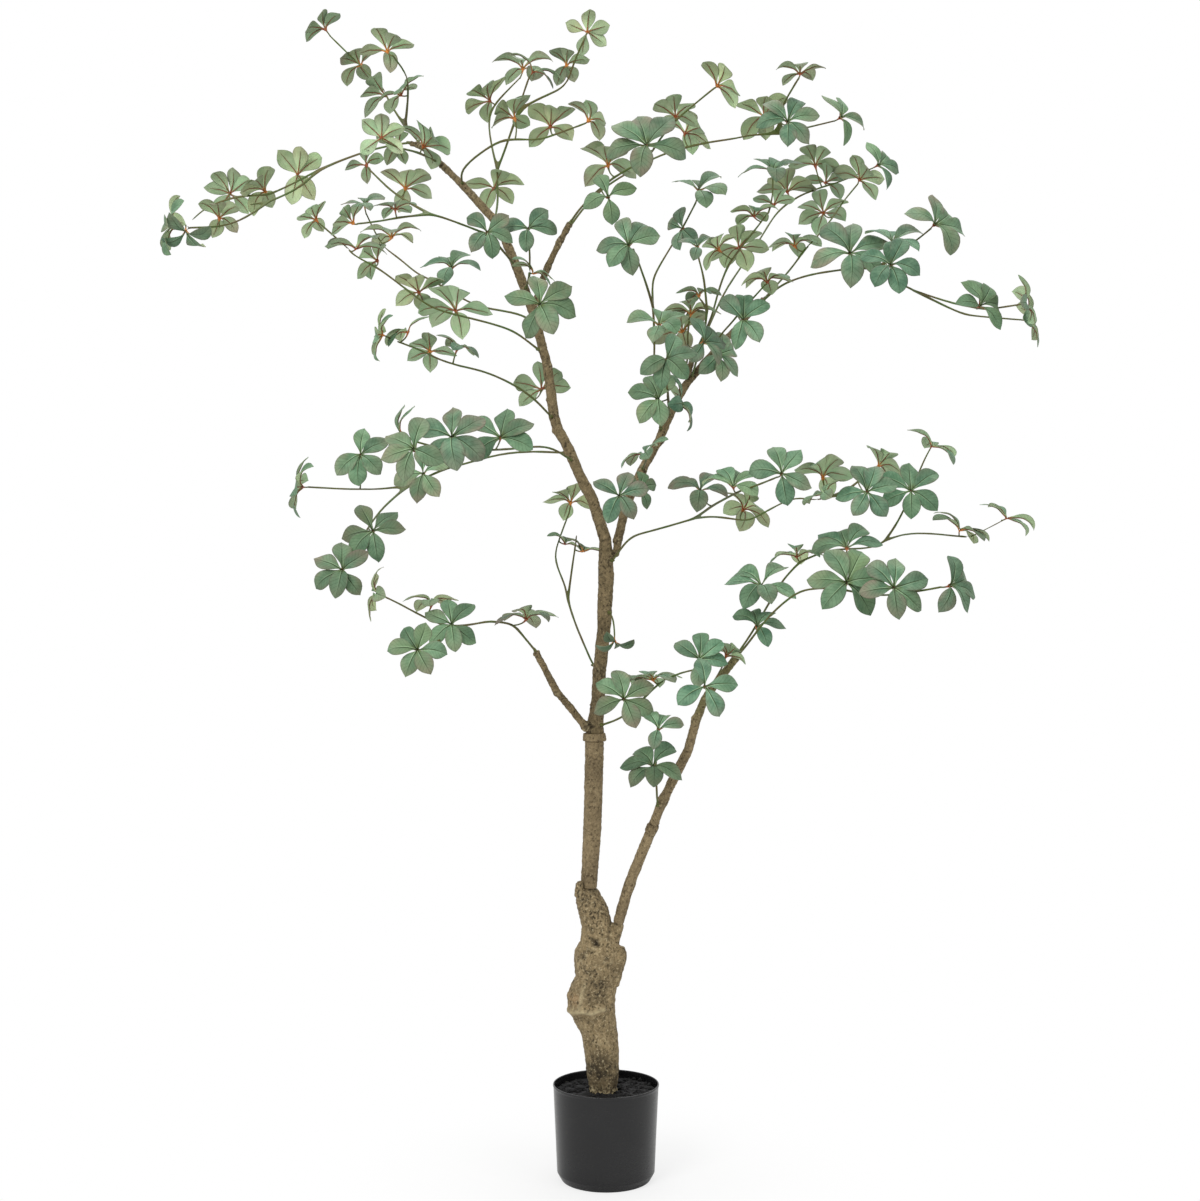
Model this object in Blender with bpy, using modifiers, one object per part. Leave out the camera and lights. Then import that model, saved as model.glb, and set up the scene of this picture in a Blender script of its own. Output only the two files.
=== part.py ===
"""Potted rhodoleia tree: a made (artificial) plant in a plain nursery pot.

Blender 4.5, metres, +Z up, -Y towards a person facing the tree.  Run it with
blender --background --python part.py.

The crown is laid out on a front elevation: every place is written as (across, up) in
metres on the plane through the pot's axis, and a depth pushes it away from a viewer who
stands EYE_DISTANCE in front.  A piece slides along the viewer's line of sight, so the
front elevation stays as drawn whatever depth it has.
"""

import math

import bmesh
import bpy
from mathutils import Matrix, Vector

# ---------------------------------------------------------------- driving dimensions
EYE_DISTANCE = 2.71
EYE_HEIGHT = 0.8885
CROWN_DEPTH = 1.25

POT_HEIGHT = 0.146
POT_RIM_RADIUS = 0.0815
POT_TOP_RADIUS = 0.0808
POT_FOOT_RADIUS = 0.068
POT_SHOULDER_RADIUS = 0.075
POT_SHOULDER_HEIGHT = 0.012
POT_WALL = 0.0016
POT_FLOOR = 0.0025
POT_BAND = 0.003
POT_BAND_STEP = 0.001
POT_EDGE = 0.0006
WEIGHT_TOP = 0.122
SOIL_TOP = 0.134
SOIL_LUMP = 0.0025
SOIL_RINGS = 7
TURN_STEPS = 36

SIDE_TOP = POT_HEIGHT - POT_BAND - POT_BAND_STEP

GAP = 0.0003
SOCKET_DEPTH = 0.060
BOSS_LENGTH = 0.027
END_REACH = 0.004
ROOT_STRAIGHT = 0.004
FOOT_RADIUS = 0.021
FOOT_ACROSS = -0.004

STEM_RADIUS = 0.0023
STALK_RADIUS = 0.0011
HUB_RADIUS = 0.0030
LEAF_WIDEST = 0.62
LEAF_WIDTH = 0.56
LEAF_KEEL = 0.0014
LEAF_LIFTS = (0.16, -0.06, 0.08, -0.14, 0.12, -0.10, 0.04)
STALK_REACH = 0.025
SEEN_FLAT = 0.40

# The way a whorl's upper side looks: across, towards the viewer, up.
FACINGS = {
    "front": (0.0, 0.92, 0.40),
    "front_left": (-0.55, 0.75, 0.35),
    "front_right": (0.55, 0.75, 0.35),
    "up_front": (0.0, 0.55, 0.83),
    "behind": (0.0, -0.88, 0.47),
    "under": (0.0, -0.56, 0.83),
    "under_left": (-0.52, -0.46, 0.72),
    "under_right": (0.52, -0.46, 0.72),
    "up": (0.0, -0.15, 0.99),
    "up_left": (-0.50, 0.05, 0.86),
    "up_right": (0.50, 0.05, 0.86),
    "left": (-0.95, 0.15, 0.27),
    "right": (0.95, 0.15, 0.27),
    "down": (0.0, 0.35, -0.94),
}


# ---------------------------------------------------------------- the crown's layout
# A strand is (start depth or None, end depth, places): with None it starts at the nearest
# earlier strand of its spray.  A whorl is (across, up, facing, size, leaves, push): size is
# the length of its leaves, leaves their number or the angles at which they are seen, and
# push moves the whorl further from the viewer than its strand.
def crown():
    """Each spray's name, the piece it is plugged into, its strands and its whorls."""
    sprays = {}
    sprays["spray_far_left"] = ("trunk_upper", [
        (0.05, 0.13, [(-0.303, 1.592), (-0.348, 1.586), (-0.394, 1.571), (-0.440, 1.552),
                      (-0.471, 1.535), (-0.517, 1.512), (-0.563, 1.511), (-0.612, 1.497),
                      (-0.638, 1.472)]),
        (None, 0.02, [(-0.440, 1.552), (-0.475, 1.520), (-0.517, 1.503), (-0.550, 1.497)]),
        (None, -0.06, [(-0.517, 1.503), (-0.555, 1.476), (-0.590, 1.463), (-0.640, 1.462)]),
    ], [
        (-0.662, 1.466, "left", 0.050, 6, 0.0),
        (-0.647, 1.457, "down", 0.046, 4, -0.01),
        (-0.595, 1.476, "under", 0.040, (80, 20, 150, -40, -130), 0.0),
        (-0.578, 1.514, "behind", 0.042, (150, 118, 88, 50, -50, -140), 0.03),
        (-0.523, 1.517, "under_left", 0.045, (77, 126, 184, -128, -73), 0.0),
        (-0.474, 1.543, "behind", 0.048, (72, 35, 130, -62, -104), 0.02),
    ])
    sprays["spray_top_left"] = ("trunk_upper", [
        (0.04, 0.12, [(-0.291, 1.590), (-0.309, 1.617), (-0.329, 1.648), (-0.343, 1.677),
                      (-0.375, 1.709), (-0.424, 1.757)]),
        (None, -0.09, [(-0.309, 1.617), (-0.305, 1.655), (-0.303, 1.695), (-0.328, 1.726)]),
    ], [
        (-0.431, 1.767, "under_left", 0.036, (78, 52, 190, 218), 0.0),
        (-0.377, 1.712, "under_left", 0.040, (180, 228, 37, 100, -50), 0.02),
        (-0.339, 1.665, "under_left", 0.048, (186, 225, 140), 0.0),
        (-0.316, 1.666, "up_left", 0.048, 5, 0.0),
        (-0.337, 1.733, "under", 0.045, (60, 9, 180, 113, -90), 0.0),
    ])
    sprays["spray_limb_tip"] = ("trunk_upper", [
        (-0.02, -0.14, [(-0.268, 1.574), (-0.292, 1.579), (-0.317, 1.584), (-0.340, 1.594)]),
    ], [
        (-0.346, 1.600, "behind", 0.041, (86, 20, -35, -150, 140), 0.0),
        (-0.320, 1.585, "under", 0.039, (-72, -137, 60, 160), 0.012),
        (-0.281, 1.586, "under_right", 0.050, (69, 28, -12, -81, 140), 0.018),
    ])
    sprays["spray_upper_left"] = ("trunk_upper", [
        (-0.02, -0.20, [(-0.151, 1.409), (-0.178, 1.451), (-0.217, 1.465), (-0.248, 1.477),
                        (-0.271, 1.483), (-0.317, 1.478), (-0.348, 1.472), (-0.383, 1.468)]),
        (None, -0.10, [(-0.271, 1.483), (-0.298, 1.497), (-0.329, 1.517), (-0.348, 1.535),
                       (-0.364, 1.551)]),
    ], [
        (-0.183, 1.4545, "front", 0.045, (141, -125, -78, -25, 40), -0.03),
        (-0.390, 1.469, "under_left", 0.040, (168, 122, 75, 215), 0.0),
        (-0.325, 1.490, "up", 0.037, 5, -0.01),
        (-0.309, 1.522, "under", 0.047, (151, 60, 23, -20, -120), 0.03),
        (-0.369, 1.558, "under_left", 0.035, (201, -101, 80, 20), 0.0),
    ])
    sprays["spray_left_high"] = ("trunk_upper", [
        (0.03, 0.17, [(-0.112, 1.318), (-0.132, 1.330), (-0.178, 1.337), (-0.2015, 1.343),
                      (-0.228, 1.357), (-0.245, 1.368), (-0.271, 1.383), (-0.291, 1.391),
                      (-0.317, 1.415), (-0.340, 1.430), (-0.355, 1.455), (-0.368, 1.483)]),
    ], [
        (-0.371, 1.497, "up_front", 0.037, (180, 100, 20, -60, -120), 0.0),
        (-0.329, 1.447, "up", 0.050, 5, -0.01),
        (-0.237, 1.400, "up_front", 0.050, (178, 110, 54, -12, -110), -0.01),
    ])
    sprays["spray_left_mid"] = ("trunk_upper", [
        (-0.01, -0.08, [(-0.102, 1.278), (-0.132, 1.297), (-0.155, 1.309), (-0.209, 1.323),
                        (-0.240, 1.330), (-0.271, 1.340), (-0.294, 1.357), (-0.332, 1.386),
                        (-0.351, 1.400), (-0.386, 1.418), (-0.409, 1.441), (-0.438, 1.466)]),
    ], [
        (-0.446, 1.474, "under_left", 0.036, (62, 120, 167, 228, -60), 0.0),
        (-0.385, 1.430, "up", 0.050, (145, 186, 27, 80), -0.005),
        (-0.352, 1.411, "under_left", 0.042, (216, 248, 75, 150), 0.015),
        (-0.288, 1.362, "under", 0.047, (95, 150, 201, 20, -87), 0.025),
        (-0.231, 1.334, "under", 0.059, (77, 139, 178, -8, -78, -150), 0.03),
    ])
    sprays["spray_left_centre"] = ("trunk_upper", [
        (-0.01, -0.20, [(-0.089, 1.171), (-0.104, 1.193), (-0.132, 1.215), (-0.163, 1.231),
                        (-0.194, 1.243), (-0.225, 1.249), (-0.255, 1.258), (-0.274, 1.268),
                        (-0.294, 1.277), (-0.317, 1.285), (-0.337, 1.294)]),
    ], [
        (-0.345, 1.297, "left", 0.044, 6, 0.0),
        (-0.306, 1.302, "up_left", 0.042, (122, 35, -130, 180), -0.01),
        (-0.271, 1.271, "under", 0.043, (90, 148, 197, -97, -10), 0.03),
        (-0.229, 1.276, "up_right", 0.040, 5, 0.0),
        (-0.099, 1.213, "behind", 0.046, (98, 165, 216, 40, 4), 0.070),
    ])
    sprays["spray_low_left_near"] = ("trunk_upper", [
        (-0.02, -0.26, [(-0.050, 1.108), (-0.082, 1.124), (-0.108, 1.126), (-0.140, 1.122),
                        (-0.171, 1.120), (-0.217, 1.120), (-0.262, 1.124), (-0.298, 1.134)]),
    ], [
        (-0.163, 1.139, "front", 0.057, (150, 79, 19, -24, -148), -0.02),
        (-0.238, 1.139, "front", 0.060, (91, 170, -135, -78, -35, 30), 0.0),
        (-0.297, 1.120, "front", 0.055, (73, 150, 198, -106, -25), -0.03),
        (-0.316, 1.146, "left", 0.050, (91, 55, 187, 230), 0.02),
    ])
    sprays["spray_low_left_far"] = ("trunk_upper", [
        (0.02, 0.09, [(-0.058, 1.118), (-0.109, 1.1185), (-0.163, 1.115), (-0.2185, 1.098),
                      (-0.249, 1.091), (-0.304, 1.065), (-0.351, 1.059), (-0.405, 1.060),
                      (-0.458, 1.063)]),
        (None, -0.10, [(-0.304, 1.065), (-0.337, 1.038), (-0.358, 1.014), (-0.392, 0.958)]),
    ], [
        (-0.466, 1.063, "left", 0.050, 6, 0.0),
        (-0.377, 1.112, "front", 0.050, (86, 24, -52, -92, -130), 0.0),
        (-0.281, 1.083, "front", 0.049, (20, -55, -101, -157, 90), -0.01),
        (-0.3585, 0.995, "front", 0.052, (121, 42, 2, -78, -126, 189), -0.03),
        (-0.406, 0.935, "front", 0.050, (95, 33, -51, -100, -148, 159), 0.0),
    ])
    sprays["spray_lower_left"] = ("limb_lower_left", [
        (-0.08, -0.16, [(-0.108, 0.811), (-0.123, 0.828), (-0.137, 0.845), (-0.148, 0.854),
                        (-0.183, 0.857), (-0.2015, 0.852), (-0.240, 0.848), (-0.271, 0.858),
                        (-0.3015, 0.874), (-0.323, 0.886), (-0.345, 0.896)]),
        (None, -0.22, [(-0.240, 0.848), (-0.255, 0.828), (-0.280, 0.816)]),
    ], [
        (-0.350, 0.898, "left", 0.046, 5, 0.0),
        (-0.269, 0.882, "up", 0.046, 5, 0.0),
        (-0.238, 0.851, "front", 0.048, (102, 40, -34, -80, -139, 155), -0.03),
        (-0.291, 0.812, "front", 0.047, (122, 74, -5, -59, -115, 184), 0.0),
        (-0.123, 0.860, "up", 0.052, 6, -0.02),
    ])
    sprays["twig_left_of_trunk"] = ("trunk_upper", [
        (0.015, 0.07, [(-0.011, 0.788), (-0.034, 0.8215), (-0.049, 0.857), (-0.0585, 0.889),
                       (-0.063, 0.914), (-0.080, 0.950), (-0.075, 0.975), (-0.057, 1.022)]),
        (None, 0.03, [(-0.0585, 0.889), (-0.054, 0.925), (-0.048, 0.966), (-0.045, 0.990)]),
    ], [
        (-0.054, 1.0385, "under", 0.044, (178, 135, 78, -20, -118), 0.0),
        (-0.063, 0.976, "up_right", 0.034, 3, 0.0),
        (-0.034, 0.965, "up_right", 0.039, (101, 60, -10), 0.0),
    ])
    sprays["twig_right_of_trunk"] = ("trunk_upper", [
        (-0.01, -0.03, [(0.002, 0.870), (0.012, 0.858), (0.013, 0.835)]),
    ], [
        (0.013, 0.826, "down", 0.033, 4, 0.0),
    ])
    sprays["spray_top_middle_low"] = ("trunk_upper", [
        (0.00, -0.16, [(-0.228, 1.534), (-0.2246, 1.551), (-0.194, 1.577), (-0.163, 1.597),
                       (-0.132, 1.598), (-0.1015, 1.597), (-0.0815, 1.6046),
                       (-0.055, 1.614), (-0.034, 1.622)]),
    ], [
        (-0.028, 1.626, "under_right", 0.041, (99, 139, -12, -62), 0.0),
        (-0.086, 1.617, "under", 0.050, (90, 140, 35, -30, -150), 0.03),
        (-0.141, 1.630, "under_left", 0.044, (100, 150, 50, -10, -160), 0.0),
    ])
    sprays["spray_top_middle_high"] = ("trunk_upper", [
        (0.05, 0.14, [(-0.167, 1.475), (-0.166, 1.500), (-0.167, 1.551), (-0.178, 1.597),
                      (-0.1815, 1.635), (-0.163, 1.6615), (-0.132, 1.692)]),
        (None, 0.02, [(-0.167, 1.551), (-0.155, 1.5815), (-0.135, 1.643), (-0.126, 1.671),
                      (-0.118, 1.694)]),
        (None, -0.04, [(-0.135, 1.643), (-0.1015, 1.6615), (-0.0785, 1.671), (-0.060, 1.682),
                       (-0.048, 1.720), (-0.034, 1.751)]),
    ], [
        (-0.127, 1.706, "up", 0.050, 5, 0.0),
        (-0.112, 1.702, "up_right", 0.047, (6, -31, 60, 140), 0.0),
        (-0.178, 1.657, "under_left", 0.045, (152, 109, 64, 196, -100), 0.0),
        (-0.029, 1.763, "behind", 0.037, (160, 82, 14, -32, -105), 0.0),
        (-0.0605, 1.711, "under", 0.038, (80, 150, 10, -60, -130), 0.02),
        (-0.172, 1.5215, "under", 0.048, (172, -125, 58, 4, -38), 0.02),
    ])
    sprays["bud_trunk_high"] = ("trunk_upper", [
        (-0.01, -0.06, [(-0.129, 1.372), (-0.118, 1.388), (-0.117, 1.420), (-0.120, 1.453)]),
    ], [
        (-0.120, 1.460, "front", 0.045, (43, -5, -93, 172), 0.0),
        (-0.112, 1.392, "up_right", 0.040, (98, 150, -38, 15), 0.0),
    ])
    sprays["bud_trunk_middle"] = ("trunk_upper", [
        (-0.02, -0.07, [(-0.117, 1.334), (-0.108, 1.338), (-0.103, 1.341)]),
    ], [
        (-0.1015, 1.343, "front", 0.059, (165, 100, 30, -13, -69, -112), 0.0),
    ])
    sprays["spray_top_near"] = ("limb_top", [
        (-0.02, -0.20, [(-0.056, 1.468), (-0.043, 1.488), (-0.0246, 1.509), (0.009, 1.538),
                        (0.037, 1.554), (0.0646, 1.569), (0.083, 1.600), (0.1046, 1.626),
                        (0.135, 1.652), (0.166, 1.677)]),
    ], [
        (0.003, 1.557, "under", 0.053, (100, 150, 45, -20, -150), 0.03),
        (0.003, 1.509, "front", 0.047, (114, 15, -82, 210), -0.02),
        (0.0615, 1.588, "front", 0.065, (105, 45, -15, 148, 190, -100), -0.03),
        (0.1065, 1.632, "under", 0.045, (97, 142, 55, -20), 0.03),
        (0.170, 1.680, "under_right", 0.047, (120, 80, -22, -50), 0.0),
    ])
    sprays["spray_top_far"] = ("limb_top", [
        (-0.010, 0.06, [(-0.060, 1.458), (-0.030, 1.500), (0.002, 1.528), (0.040, 1.550),
                        (0.074, 1.570), (0.111, 1.583), (0.160, 1.594), (0.205, 1.600),
                        (0.220, 1.605), (0.266, 1.606), (0.309, 1.616), (0.351, 1.626)]),
        (None, -0.02, [(0.266, 1.606), (0.270, 1.648), (0.285, 1.673), (0.2965, 1.692)]),
    ], [
        (0.1215, 1.607, "under_right", 0.047, (82, 150, 15, -35, -70), 0.0),
        (0.243, 1.632, "under", 0.050, (90, 160, 30, -88, -135), 0.04),
        (0.280, 1.6245, "front", 0.050, (140, 185, 60, 6, -48, -92), -0.03),
        (0.360, 1.631, "front_right", 0.045, (83, 135, -25, -75), 0.0),
        (0.2985, 1.6985, "up", 0.041, 5, 0.0),
    ])
    sprays["spray_inner_left"] = ("limb_right", [
        (0.00, -0.07, [(0.090, 1.157), (0.078, 1.190), (0.073, 1.235), (0.075, 1.290),
                       (0.072, 1.340), (0.0708, 1.372), (0.0738, 1.389), (0.0892, 1.4154),
                       (0.1062, 1.443), (0.120, 1.466), (0.138, 1.501)]),
        (None, -0.14, [(0.073, 1.340), (0.060, 1.3815), (0.0415, 1.429)]),
    ], [
        (0.034, 1.434, "front", 0.052, (102, 55, 15, -83, -128, 180), 0.0),
        (0.0815, 1.3123, "up_front", 0.051, (180, 80, 15, -105, -50), -0.04),
        (0.142, 1.520, "up_front", 0.049, (160, 80, 25, -20, -68), 0.0),
        (0.1185, 1.460, "front_left", 0.039, (145, 88, -55, -95), 0.0),
    ])
    sprays["spray_inner_up"] = ("limb_right_twig", [
        (0.034, 0.04, [(0.1335, 1.258), (0.149, 1.295), (0.163, 1.323), (0.172, 1.362),
                      (0.185, 1.400), (0.208, 1.432), (0.229, 1.458), (0.2508, 1.486),
                      (0.2569, 1.512), (0.2569, 1.537)]),
    ], [
        (0.257, 1.547, "up_front", 0.055, (178, 120, 55, 10, -90), 0.0),
        (0.2277, 1.480, "up", 0.040, 5, 0.0),
        (0.2046, 1.431, "under", 0.049, (90, 45, -5, -70, -120, 195), 0.03),
        (0.1738, 1.4277, "under_left", 0.039, (165, 110, -128, 30), -0.02),
        (0.2585, 1.497, "under", 0.035, (170, 10, 60), 0.02),
    ])
    sprays["spray_inner_back"] = ("limb_right_twig", [
        (0.05, 0.30, [(0.131, 1.250), (0.158, 1.308), (0.178, 1.355), (0.1985, 1.3877),
                      (0.2215, 1.420), (0.240, 1.4477), (0.257, 1.477), (0.2723, 1.494),
                      (0.2985, 1.511), (0.3292, 1.523), (0.349, 1.529), (0.372, 1.537),
                      (0.4015, 1.550)]),
    ], [
        (0.280, 1.5169, "under", 0.048, (182, 130, 88, 45, 4), 0.0),
        (0.3231, 1.557, "under", 0.044, (132, 62, -8, 176), -0.02),
        (0.3385, 1.5308, "under_right", 0.039, (160, 100, 10, -48), 0.005),
        (0.419, 1.558, "front_right", 0.041, (115, 50, -15, -65), 0.0),
    ])
    sprays["twig_inner_small"] = ("limb_right", [
        (-0.01, -0.12, [(0.148, 1.252), (0.152, 1.300), (0.1554, 1.334), (0.1508, 1.386),
                        (0.143, 1.410), (0.140, 1.424)]),
        (None, -0.04, [(0.1554, 1.334), (0.150, 1.346), (0.1446, 1.352)]),
    ], [
        (0.140, 1.432, "up_front", 0.036, (100, 30, -112, 160), 0.0),
        (0.143, 1.3569, "up", 0.040, 4, 0.0),
    ])
    sprays["cluster_twig_top"] = ("limb_right_twig", [
        (0.02, 0.00, [(0.127, 1.240), (0.1275, 1.272), (0.125, 1.292), (0.128, 1.318)]),
    ], [
        (0.1308, 1.329, "up", 0.050, 6, 0.0),
        (0.118, 1.3015, "under", 0.051, (155, 95, 30, -70, 195), 0.020),
        (0.1492, 1.285, "front_right", 0.044, (60, 0, -60, 120, -120), -0.075),
    ])
    sprays["cluster_twig_left"] = ("limb_right", [
        (-0.03, -0.13, [(0.103, 1.190), (0.094, 1.215), (0.090, 1.245), (0.092, 1.257)]),
    ], [
        (0.0923, 1.2585, "front", 0.050, (70, 10, -48, -100, -148), 0.0),
        (0.080, 1.197, "front", 0.049, (165, 65, 115, -90, -125), -0.01),
        (0.110, 1.190, "right", 0.048, 5, -0.02),
    ])
    sprays["buds_on_limb"] = ("limb_right", [
        (0.03, -0.05, [(0.1600, 1.262), (0.166, 1.272), (0.1754, 1.297), (0.190, 1.312),
                       (0.203, 1.328), (0.220, 1.347), (0.2446, 1.374)]),
    ], [
        (0.248, 1.378, "up", 0.044, 6, 0.0),
        (0.2108, 1.320, "front", 0.050, (130, 30, -65, -100, 90), -0.02),
        (0.1692, 1.2646, "front_right", 0.047, (25, -50, -85, -125, 80), 0.0),
    ])
    sprays["bud_limb_low"] = ("limb_right", [
        (-0.02, -0.05, [(0.066, 1.094), (0.062, 1.104), (0.061, 1.110)]),
    ], [
        (0.060, 1.1123, "up_left", 0.045, 5, 0.0),
    ])
    sprays["spray_right_reach"] = ("limb_right", [
        (0.10, -0.12, [(0.233, 1.342), (0.262, 1.369), (0.283, 1.380), (0.3108, 1.389),
                       (0.337, 1.394), (0.376, 1.399), (0.420, 1.400), (0.4431, 1.383),
                       (0.460, 1.372), (0.4723, 1.366), (0.5338, 1.345), (0.585, 1.336),
                       (0.637, 1.344)]),
        (None, -0.06, [(0.4723, 1.366), (0.5062, 1.349), (0.5477, 1.329), (0.5677, 1.326),
                       (0.640, 1.320)]),
        (None, -0.02, [(0.420, 1.400), (0.444, 1.425), (0.470, 1.436), (0.500, 1.461)]),
    ], [
        (0.3754, 1.4215, "front", 0.065, (135, 82, 193, -93, -35, 15), 0.0),
        (0.4415, 1.4385, "up_front", 0.055, (150, 95, 15, -35, -110), -0.01),
        (0.4369, 1.4046, "front", 0.050, (-125, -75, -25, 155, 60), -0.05),
        (0.5046, 1.4662, "front_right", 0.055, (87, 50, 160, -15, -65), 0.0),
        (0.5738, 1.3415, "front_right", 0.050, (135, 100, 60, 10, -55, 178), -0.02),
        (0.641, 1.3446, "right", 0.047, 5, 0.0),
        (0.645, 1.320, "right", 0.050, 5, 0.0),
    ])
    sprays["spray_right_rise"] = ("limb_right", [
        (0.12, 0.24, [(0.243, 1.352), (0.265, 1.376), (0.2877, 1.4015), (0.306, 1.4277),
                      (0.326, 1.449), (0.345, 1.471), (0.3677, 1.5046), (0.389, 1.530)]),
    ], [
        (0.3908, 1.535, "under_right", 0.045, (118, 158, -10, -50, 60), 0.0),
        (0.3354, 1.4846, "under", 0.046, (110, 165, 205, 25, -20, -110), 0.03),
        (0.2908, 1.4338, "up", 0.045, 6, 0.0),
    ])
    sprays["spray_right_mid"] = ("trunk_upper", [
        (-0.011, 0.03, [(0.006, 0.950), (0.013, 0.954), (0.031, 0.980), (0.045, 0.989),
                       (0.060, 0.993),
                       (0.086, 1.000), (0.114, 1.008), (0.137, 1.015), (0.160, 1.018),
                       (0.183, 1.016), (0.214, 1.0108), (0.229, 1.0154), (0.2446, 1.0246),
                       (0.2677, 1.037), (0.2908, 1.0477), (0.322, 1.043), (0.345, 1.048),
                       (0.368, 1.050)]),
        (None, -0.22, [(0.137, 1.015), (0.163, 1.034), (0.1877, 1.0477), (0.206, 1.057),
                       (0.2292, 1.0646), (0.249, 1.073), (0.262, 1.078)]),
        (None, 0.10, [(0.345, 1.048), (0.375, 1.060), (0.400, 1.082), (0.412, 1.090)]),
    ], [
        (0.1446, 1.057, "up_front", 0.051, (178, -105, -22, 150, 45), -0.03),
        (0.1954, 1.063, "up_front", 0.051, (165, 125, 12, -30, 60), -0.01),
        (0.2108, 1.0277, "under_right", 0.050, (68, 20, -40, -95, 195, 130), 0.03),
        (0.2692, 1.083, "front", 0.052, (104, 50, -27, -80, 178), 0.0),
        (0.3338, 1.077, "under", 0.051, (127, 48, -5, -60, 165), 0.04),
        (0.3369, 1.0523, "up_left", 0.041, 5, -0.015),
        (0.4015, 1.0554, "front", 0.050, (117, 70, 10, -52, -122, 188), -0.04),
        (0.4185, 1.0938, "under_right", 0.047, (113, 72, -15, -58), 0.0),
    ])
    sprays["bud_at_fork"] = ("limb_right", [
        (-0.02, -0.09, [(0.036, 1.046), (0.030, 1.050), (0.024, 1.050)]),
    ], [
        (0.020, 1.049, "front", 0.048, (10, 70, 150, -115, -60), 0.0),
    ])
    sprays["bud_above_fork"] = ("limb_right", [
        (-0.02, -0.05, [(0.049, 1.075), (0.056, 1.066), (0.060, 1.060)]),
    ], [
        (0.049, 1.060, "front_right", 0.035, (80, 10, -60, 150), 0.0),
    ])
    sprays["spray_low_middle"] = ("trunk_upper", [
        (-0.02, -0.10, [(-0.010, 0.697), (0.012, 0.703), (0.031, 0.7123), (0.057, 0.737),
                        (0.0708, 0.7508), (0.083, 0.7615), (0.0954, 0.7692),
                        (0.114, 0.777), (0.134, 0.7815)]),
    ], [
        (0.027, 0.7365, "front", 0.052, (148, -158, -62, -28, 22, 110), -0.04),
        (0.0723, 0.7662, "up", 0.048, 6, 0.0),
        (0.0477, 0.7646, "up", 0.035, 5, 0.03),
        (0.1431, 0.7985, "front", 0.046, (148, 88, -95, -12, 35), -0.02),
    ])
    sprays["spray_low_middle_stem"] = ("limb_low_right_upper", [
        (-0.04, -0.11, [(0.0795, 0.572), (0.078, 0.600), (0.0754, 0.6246), (0.077, 0.645),
                        (0.0754, 0.670), (0.079, 0.685)]),
    ], [
        (0.080, 0.690, "up_front", 0.041, (120, 60, 3, -112), 0.0),
        (0.0723, 0.632, "up_front", 0.052, (185, 214, -115, 30, -18, 140), -0.02),
    ])
    sprays["spray_low_right_inner"] = ("limb_low_right_upper", [
        (-0.11, -0.20, [(0.165, 0.760), (0.160, 0.756), (0.154, 0.756)]),
        (None, -0.12, [(0.160, 0.756), (0.170, 0.770), (0.180, 0.790)]),
    ], [
        (0.1508, 0.7554, "front", 0.052, (-147, -62, 2, 100), 0.0),
        (0.1846, 0.803, "under_right", 0.040, (48, 0, 160, 100), 0.0),
    ])
    sprays["spray_low_right_high"] = ("limb_low_right_upper", [
        (-0.07, 0.16, [(0.194, 0.794), (0.210, 0.818), (0.222, 0.835), (0.240, 0.866),
                       (0.2646, 0.9077), (0.277, 0.926), (0.2985, 0.9477), (0.3077, 0.952),
                       (0.3415, 0.966), (0.376, 0.968), (0.4108, 0.969), (0.429, 0.980),
                       (0.460, 0.992), (0.500, 0.992), (0.534, 0.988), (0.560, 0.986),
                       (0.580, 0.9954), (0.606, 1.009), (0.614, 1.013)]),
        (None, 0.08, [(0.429, 0.980), (0.4415, 0.997), (0.4523, 1.0154), (0.4615, 1.034),
                      (0.475, 1.070), (0.490, 1.105), (0.498, 1.120)]),
    ], [
        (0.2323, 0.8477, "up_front", 0.045, (160, 108, 30, -5, -58), -0.03),
        (0.2385, 0.9108, "up_front", 0.058, (178, 145, 28, -12, -133, -78), -0.04),
        (0.2938, 0.9554, "up", 0.046, 6, 0.0),
        (0.3708, 0.9692, "up_front", 0.056, (172, 142, 108, 62, 0), -0.04),
        (0.4692, 1.0569, "front", 0.052, (88, 32, -35, -95, 200, 155), 0.0),
        (0.5015, 1.126, "up_right", 0.046, (145, 60, -8, -35), 0.0),
        (0.5446, 0.997, "up_right", 0.050, (98, 140, 5, -20, -50), 0.0),
        (0.617, 1.0154, "up_right", 0.047, (118, 62, -30, -58), 0.0),
    ])
    sprays["spray_low_right_out"] = ("limb_low_right_upper", [
        (-0.103, -0.30, [(0.203, 0.804), (0.218, 0.822), (0.238, 0.850), (0.257, 0.871),
                         (0.2754, 0.8877), (0.2985, 0.904), (0.3215, 0.907), (0.345, 0.908),
                         (0.380, 0.902), (0.406, 0.897), (0.430, 0.896), (0.4815, 0.903),
                         (0.514, 0.909)]),
    ], [
        (0.3692, 0.9154, "front", 0.063, (170, 120, 62, 5, -52, -134), -0.02),
        (0.4415, 0.9077, "front", 0.055, (82, 140, 184, 12, -38, -85), 0.0),
        (0.527, 0.911, "front_right", 0.051, (90, 25, -25, -62, -112), 0.0),
    ])
    return sprays


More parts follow.
